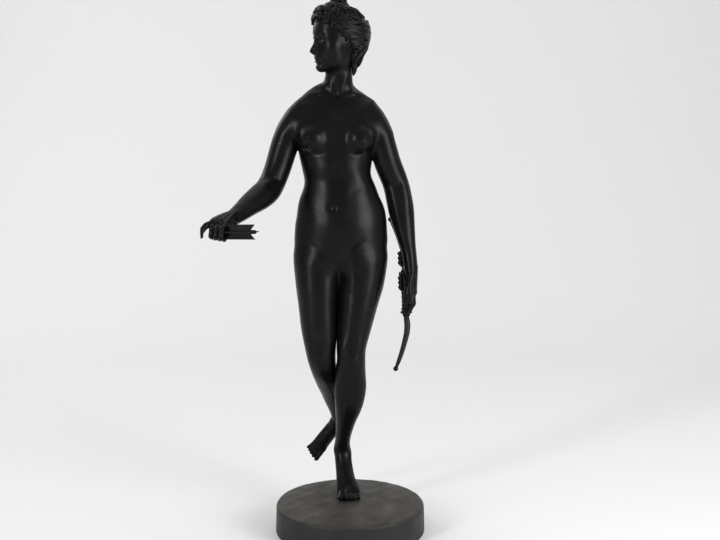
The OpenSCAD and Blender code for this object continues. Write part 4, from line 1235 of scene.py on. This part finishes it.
def dome(r):
    """Height of the base's top at a radius: level under the foot, falling to the rim."""
    return BASE_TOP - DOME_FALL * (max(r - PAD_R, 0) / (75.5 - PAD_R)) ** 2


def base():
    """The round hollow base, turned from a profile and left slightly uneven on top."""
    profile = [(r, dome(r)) for r in np.linspace(3, RIM_EDGE, 38)]
    low = dome(RIM_EDGE) - EDGE_R
    arc = np.linspace(0.12, math.pi / 2, 12)
    profile += [(RIM_EDGE + EDGE_R * math.sin(a), low + EDGE_R * math.cos(a)) for a in arc]
    r, z = profile[-1]
    profile += [(r + (WALL_R - r) * t, z - (z - 3) * t) for t in np.linspace(0.08, 1, 14)]
    # The foot of the wall, then the hollow: its wall, its roof and the boss for the stud
    profile += [(WALL_R, 1.6), (75.1, 0.5), (74.6, 0.0), (72.2, 0.0), (71.5, 0.6), (71, 3), (70.6, 20)]
    profile += [(69.5, 23), (67.5, ROOF_Z)] + [(r, ROOF_Z) for r in np.linspace(60, 23, 9)]
    profile += [(21, 24.3), (21, BOSS_Z), (12, BOSS_Z), (3, BOSS_Z)]
    sides = 224
    angle = np.linspace(0, 2 * math.pi, sides, endpoint=False)
    radius, height = np.array(profile).T[:, :, None]
    x, y = radius * np.cos(angle), radius * np.sin(angle)
    z = height + 0 * x
    wave = 0.16 * np.sin(x * 0.13 + 1.2) * np.sin(y * 0.17 + 0.4) + 0.1 * np.sin(x * 0.31 - y * 0.27)
    wave += 0.05 * np.sin(x * 0.9 + 2) * np.sin(y * 0.8)
    z += wave * fade(z, 25.2, 26.6) * fade(np.hypot(x, y), 18, 26)
    on_wall = fade(z, 1, 4) * (1 - fade(z, 22, 24)) * (np.hypot(x, y) > 73)
    swing = 1 + on_wall * 0.0016 * np.sin(angle * 3 + z * 0.1)
    points = np.stack([x * swing, y * swing, z], -1).reshape(-1, 3)
    points = np.vstack([points, [(0, 0, BASE_TOP), (0, 0, BOSS_Z)]])
    quads, ends = tube_faces(len(profile), sides)
    mesh = bpy.data.meshes.new("round_base")
    mesh.from_pydata((points * MM).tolist(), [], quads.tolist() + ends.tolist())
    bm = bmesh.new()
    bm.from_mesh(mesh)
    bmesh.ops.recalc_face_normals(bm, faces=bm.faces)
    bm.to_mesh(mesh)
    bm.free()
    add_piece(mesh, "base_casting", worn_bronze(), 50)


def dress_fixings():
    """The pins, stud, washer, nut and dowel keep their CAD shape and get real metal."""
    for name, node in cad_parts.items():
        finish = BRASS if "pin" in name or name == "stud_nut" else None
        if name in ("foot_stud", "stud_washer", "foot_dowel"):
            finish = STEEL
        if finish:
            node.data.materials.clear()
            node.data.materials.append(finish)


# ---- Light and camera, in metres ----
def studio():
    """A pale seamless floor and backdrop, big soft lights and the camera."""
    floor = bpy.data.meshes.new("floor")
    bend = np.linspace(0.1, math.pi / 2, 14)
    profile = [(-3.0, 0.0), (0.9, 0.0)]
    profile += [(0.9 + 0.8 * math.sin(a), 0.8 - 0.8 * math.cos(a)) for a in bend] + [(1.7, 3.2)]
    points = [(x, y, z - 0.0002) for y, z in profile for x in (-3.5, 3.5)]
    faces = [(2 * k, 2 * k + 1, 2 * k + 3, 2 * k + 2) for k in range(len(profile) - 1)]
    floor.from_pydata(points, [], faces)
    floor.polygons.foreach_set("use_smooth", [True] * len(faces))
    paper = Finish("pale_paper")
    tone = paper.ramp(paper.noise(700, 3), (0.3, (0.77,) * 3), (0.7, (0.79,) * 3))
    floor.materials.append(paper.done({"Base Color": tone, "Roughness": 0.9}))
    sheet = bpy.data.objects.new("floor", floor)
    bpy.context.collection.objects.link(sheet)
    world = bpy.data.worlds.new("studio")
    world.use_nodes = True
    tree = world.node_tree
    sky = tree.nodes["Background"]
    sky.inputs["Color"].default_value = (0.95, 0.95, 0.955, 1)
    # Brighter to the camera than to the bronze
    seen = tree.nodes.new("ShaderNodeLightPath").outputs["Is Camera Ray"]
    strength = tree.nodes.new("ShaderNodeMapRange")
    strength.inputs["To Min"].default_value, strength.inputs["To Max"].default_value = 0.48, 0.85
    tree.links.new(seen, strength.inputs["Value"])
    tree.links.new(strength.outputs["Result"], sky.inputs["Strength"])
    bpy.context.scene.world = world
    softbox("left_box", (-1.10, -1.20, 0.62), (0.16, 1.0), 13)
    softbox("right_box", (1.15, -0.95, 0.70), (0.8, 0.84), 14)
    softbox("low_box", (0.56, -0.46, 0.26), (0.15, 0.4), 1.15, (0, 0, 0.26))
    softbox("top_box", (0.0, 0.5, 2.1), (2.4, 1.6), 9.5)
    softbox("back_box_right", (1.35, 1.0, 1.3), (0.9, 0.9), 3)
    softbox("back_box_left", (-1.35, 1.0, 1.3), (0.9, 0.9), 8)
    camera = bpy.data.cameras.new("camera")
    camera.lens, camera.sensor_width = 50, 36
    camera.clip_start = 0.05
    eye = bpy.data.objects.new("camera", camera)
    eye.location = (0.010, -0.987, 0.367)
    eye.rotation_euler = (math.radians(90 - 5.9), 0, 0)
    bpy.context.collection.objects.link(eye)
    bpy.context.scene.camera = eye
    bpy.context.scene.view_settings.view_transform = "Standard"


def softbox(name, at, size, power, target=(0, 0, 0.4)):
    light = bpy.data.lights.new(name, "AREA")
    light.shape = "RECTANGLE"
    light.size, light.size_y = size
    light.energy = power
    lamp = bpy.data.objects.new(name, light)
    lamp.location = at
    aim = Vector(target) - Vector(at)
    lamp.rotation_euler = aim.to_track_quat("-Z", "Y").to_euler()
    bpy.context.collection.objects.link(lamp)


for make in (
    torso, standing_leg, trailing_leg, right_arm, left_arm, head, hair, hair_knot, bow_grip, arrow, base,
):
    make()
bow_limb("bow_limb_upper", "bow_upper_limb", 1)
bow_limb("bow_limb_lower", "bow_lower_limb", -1)
dress_fixings()
studio()
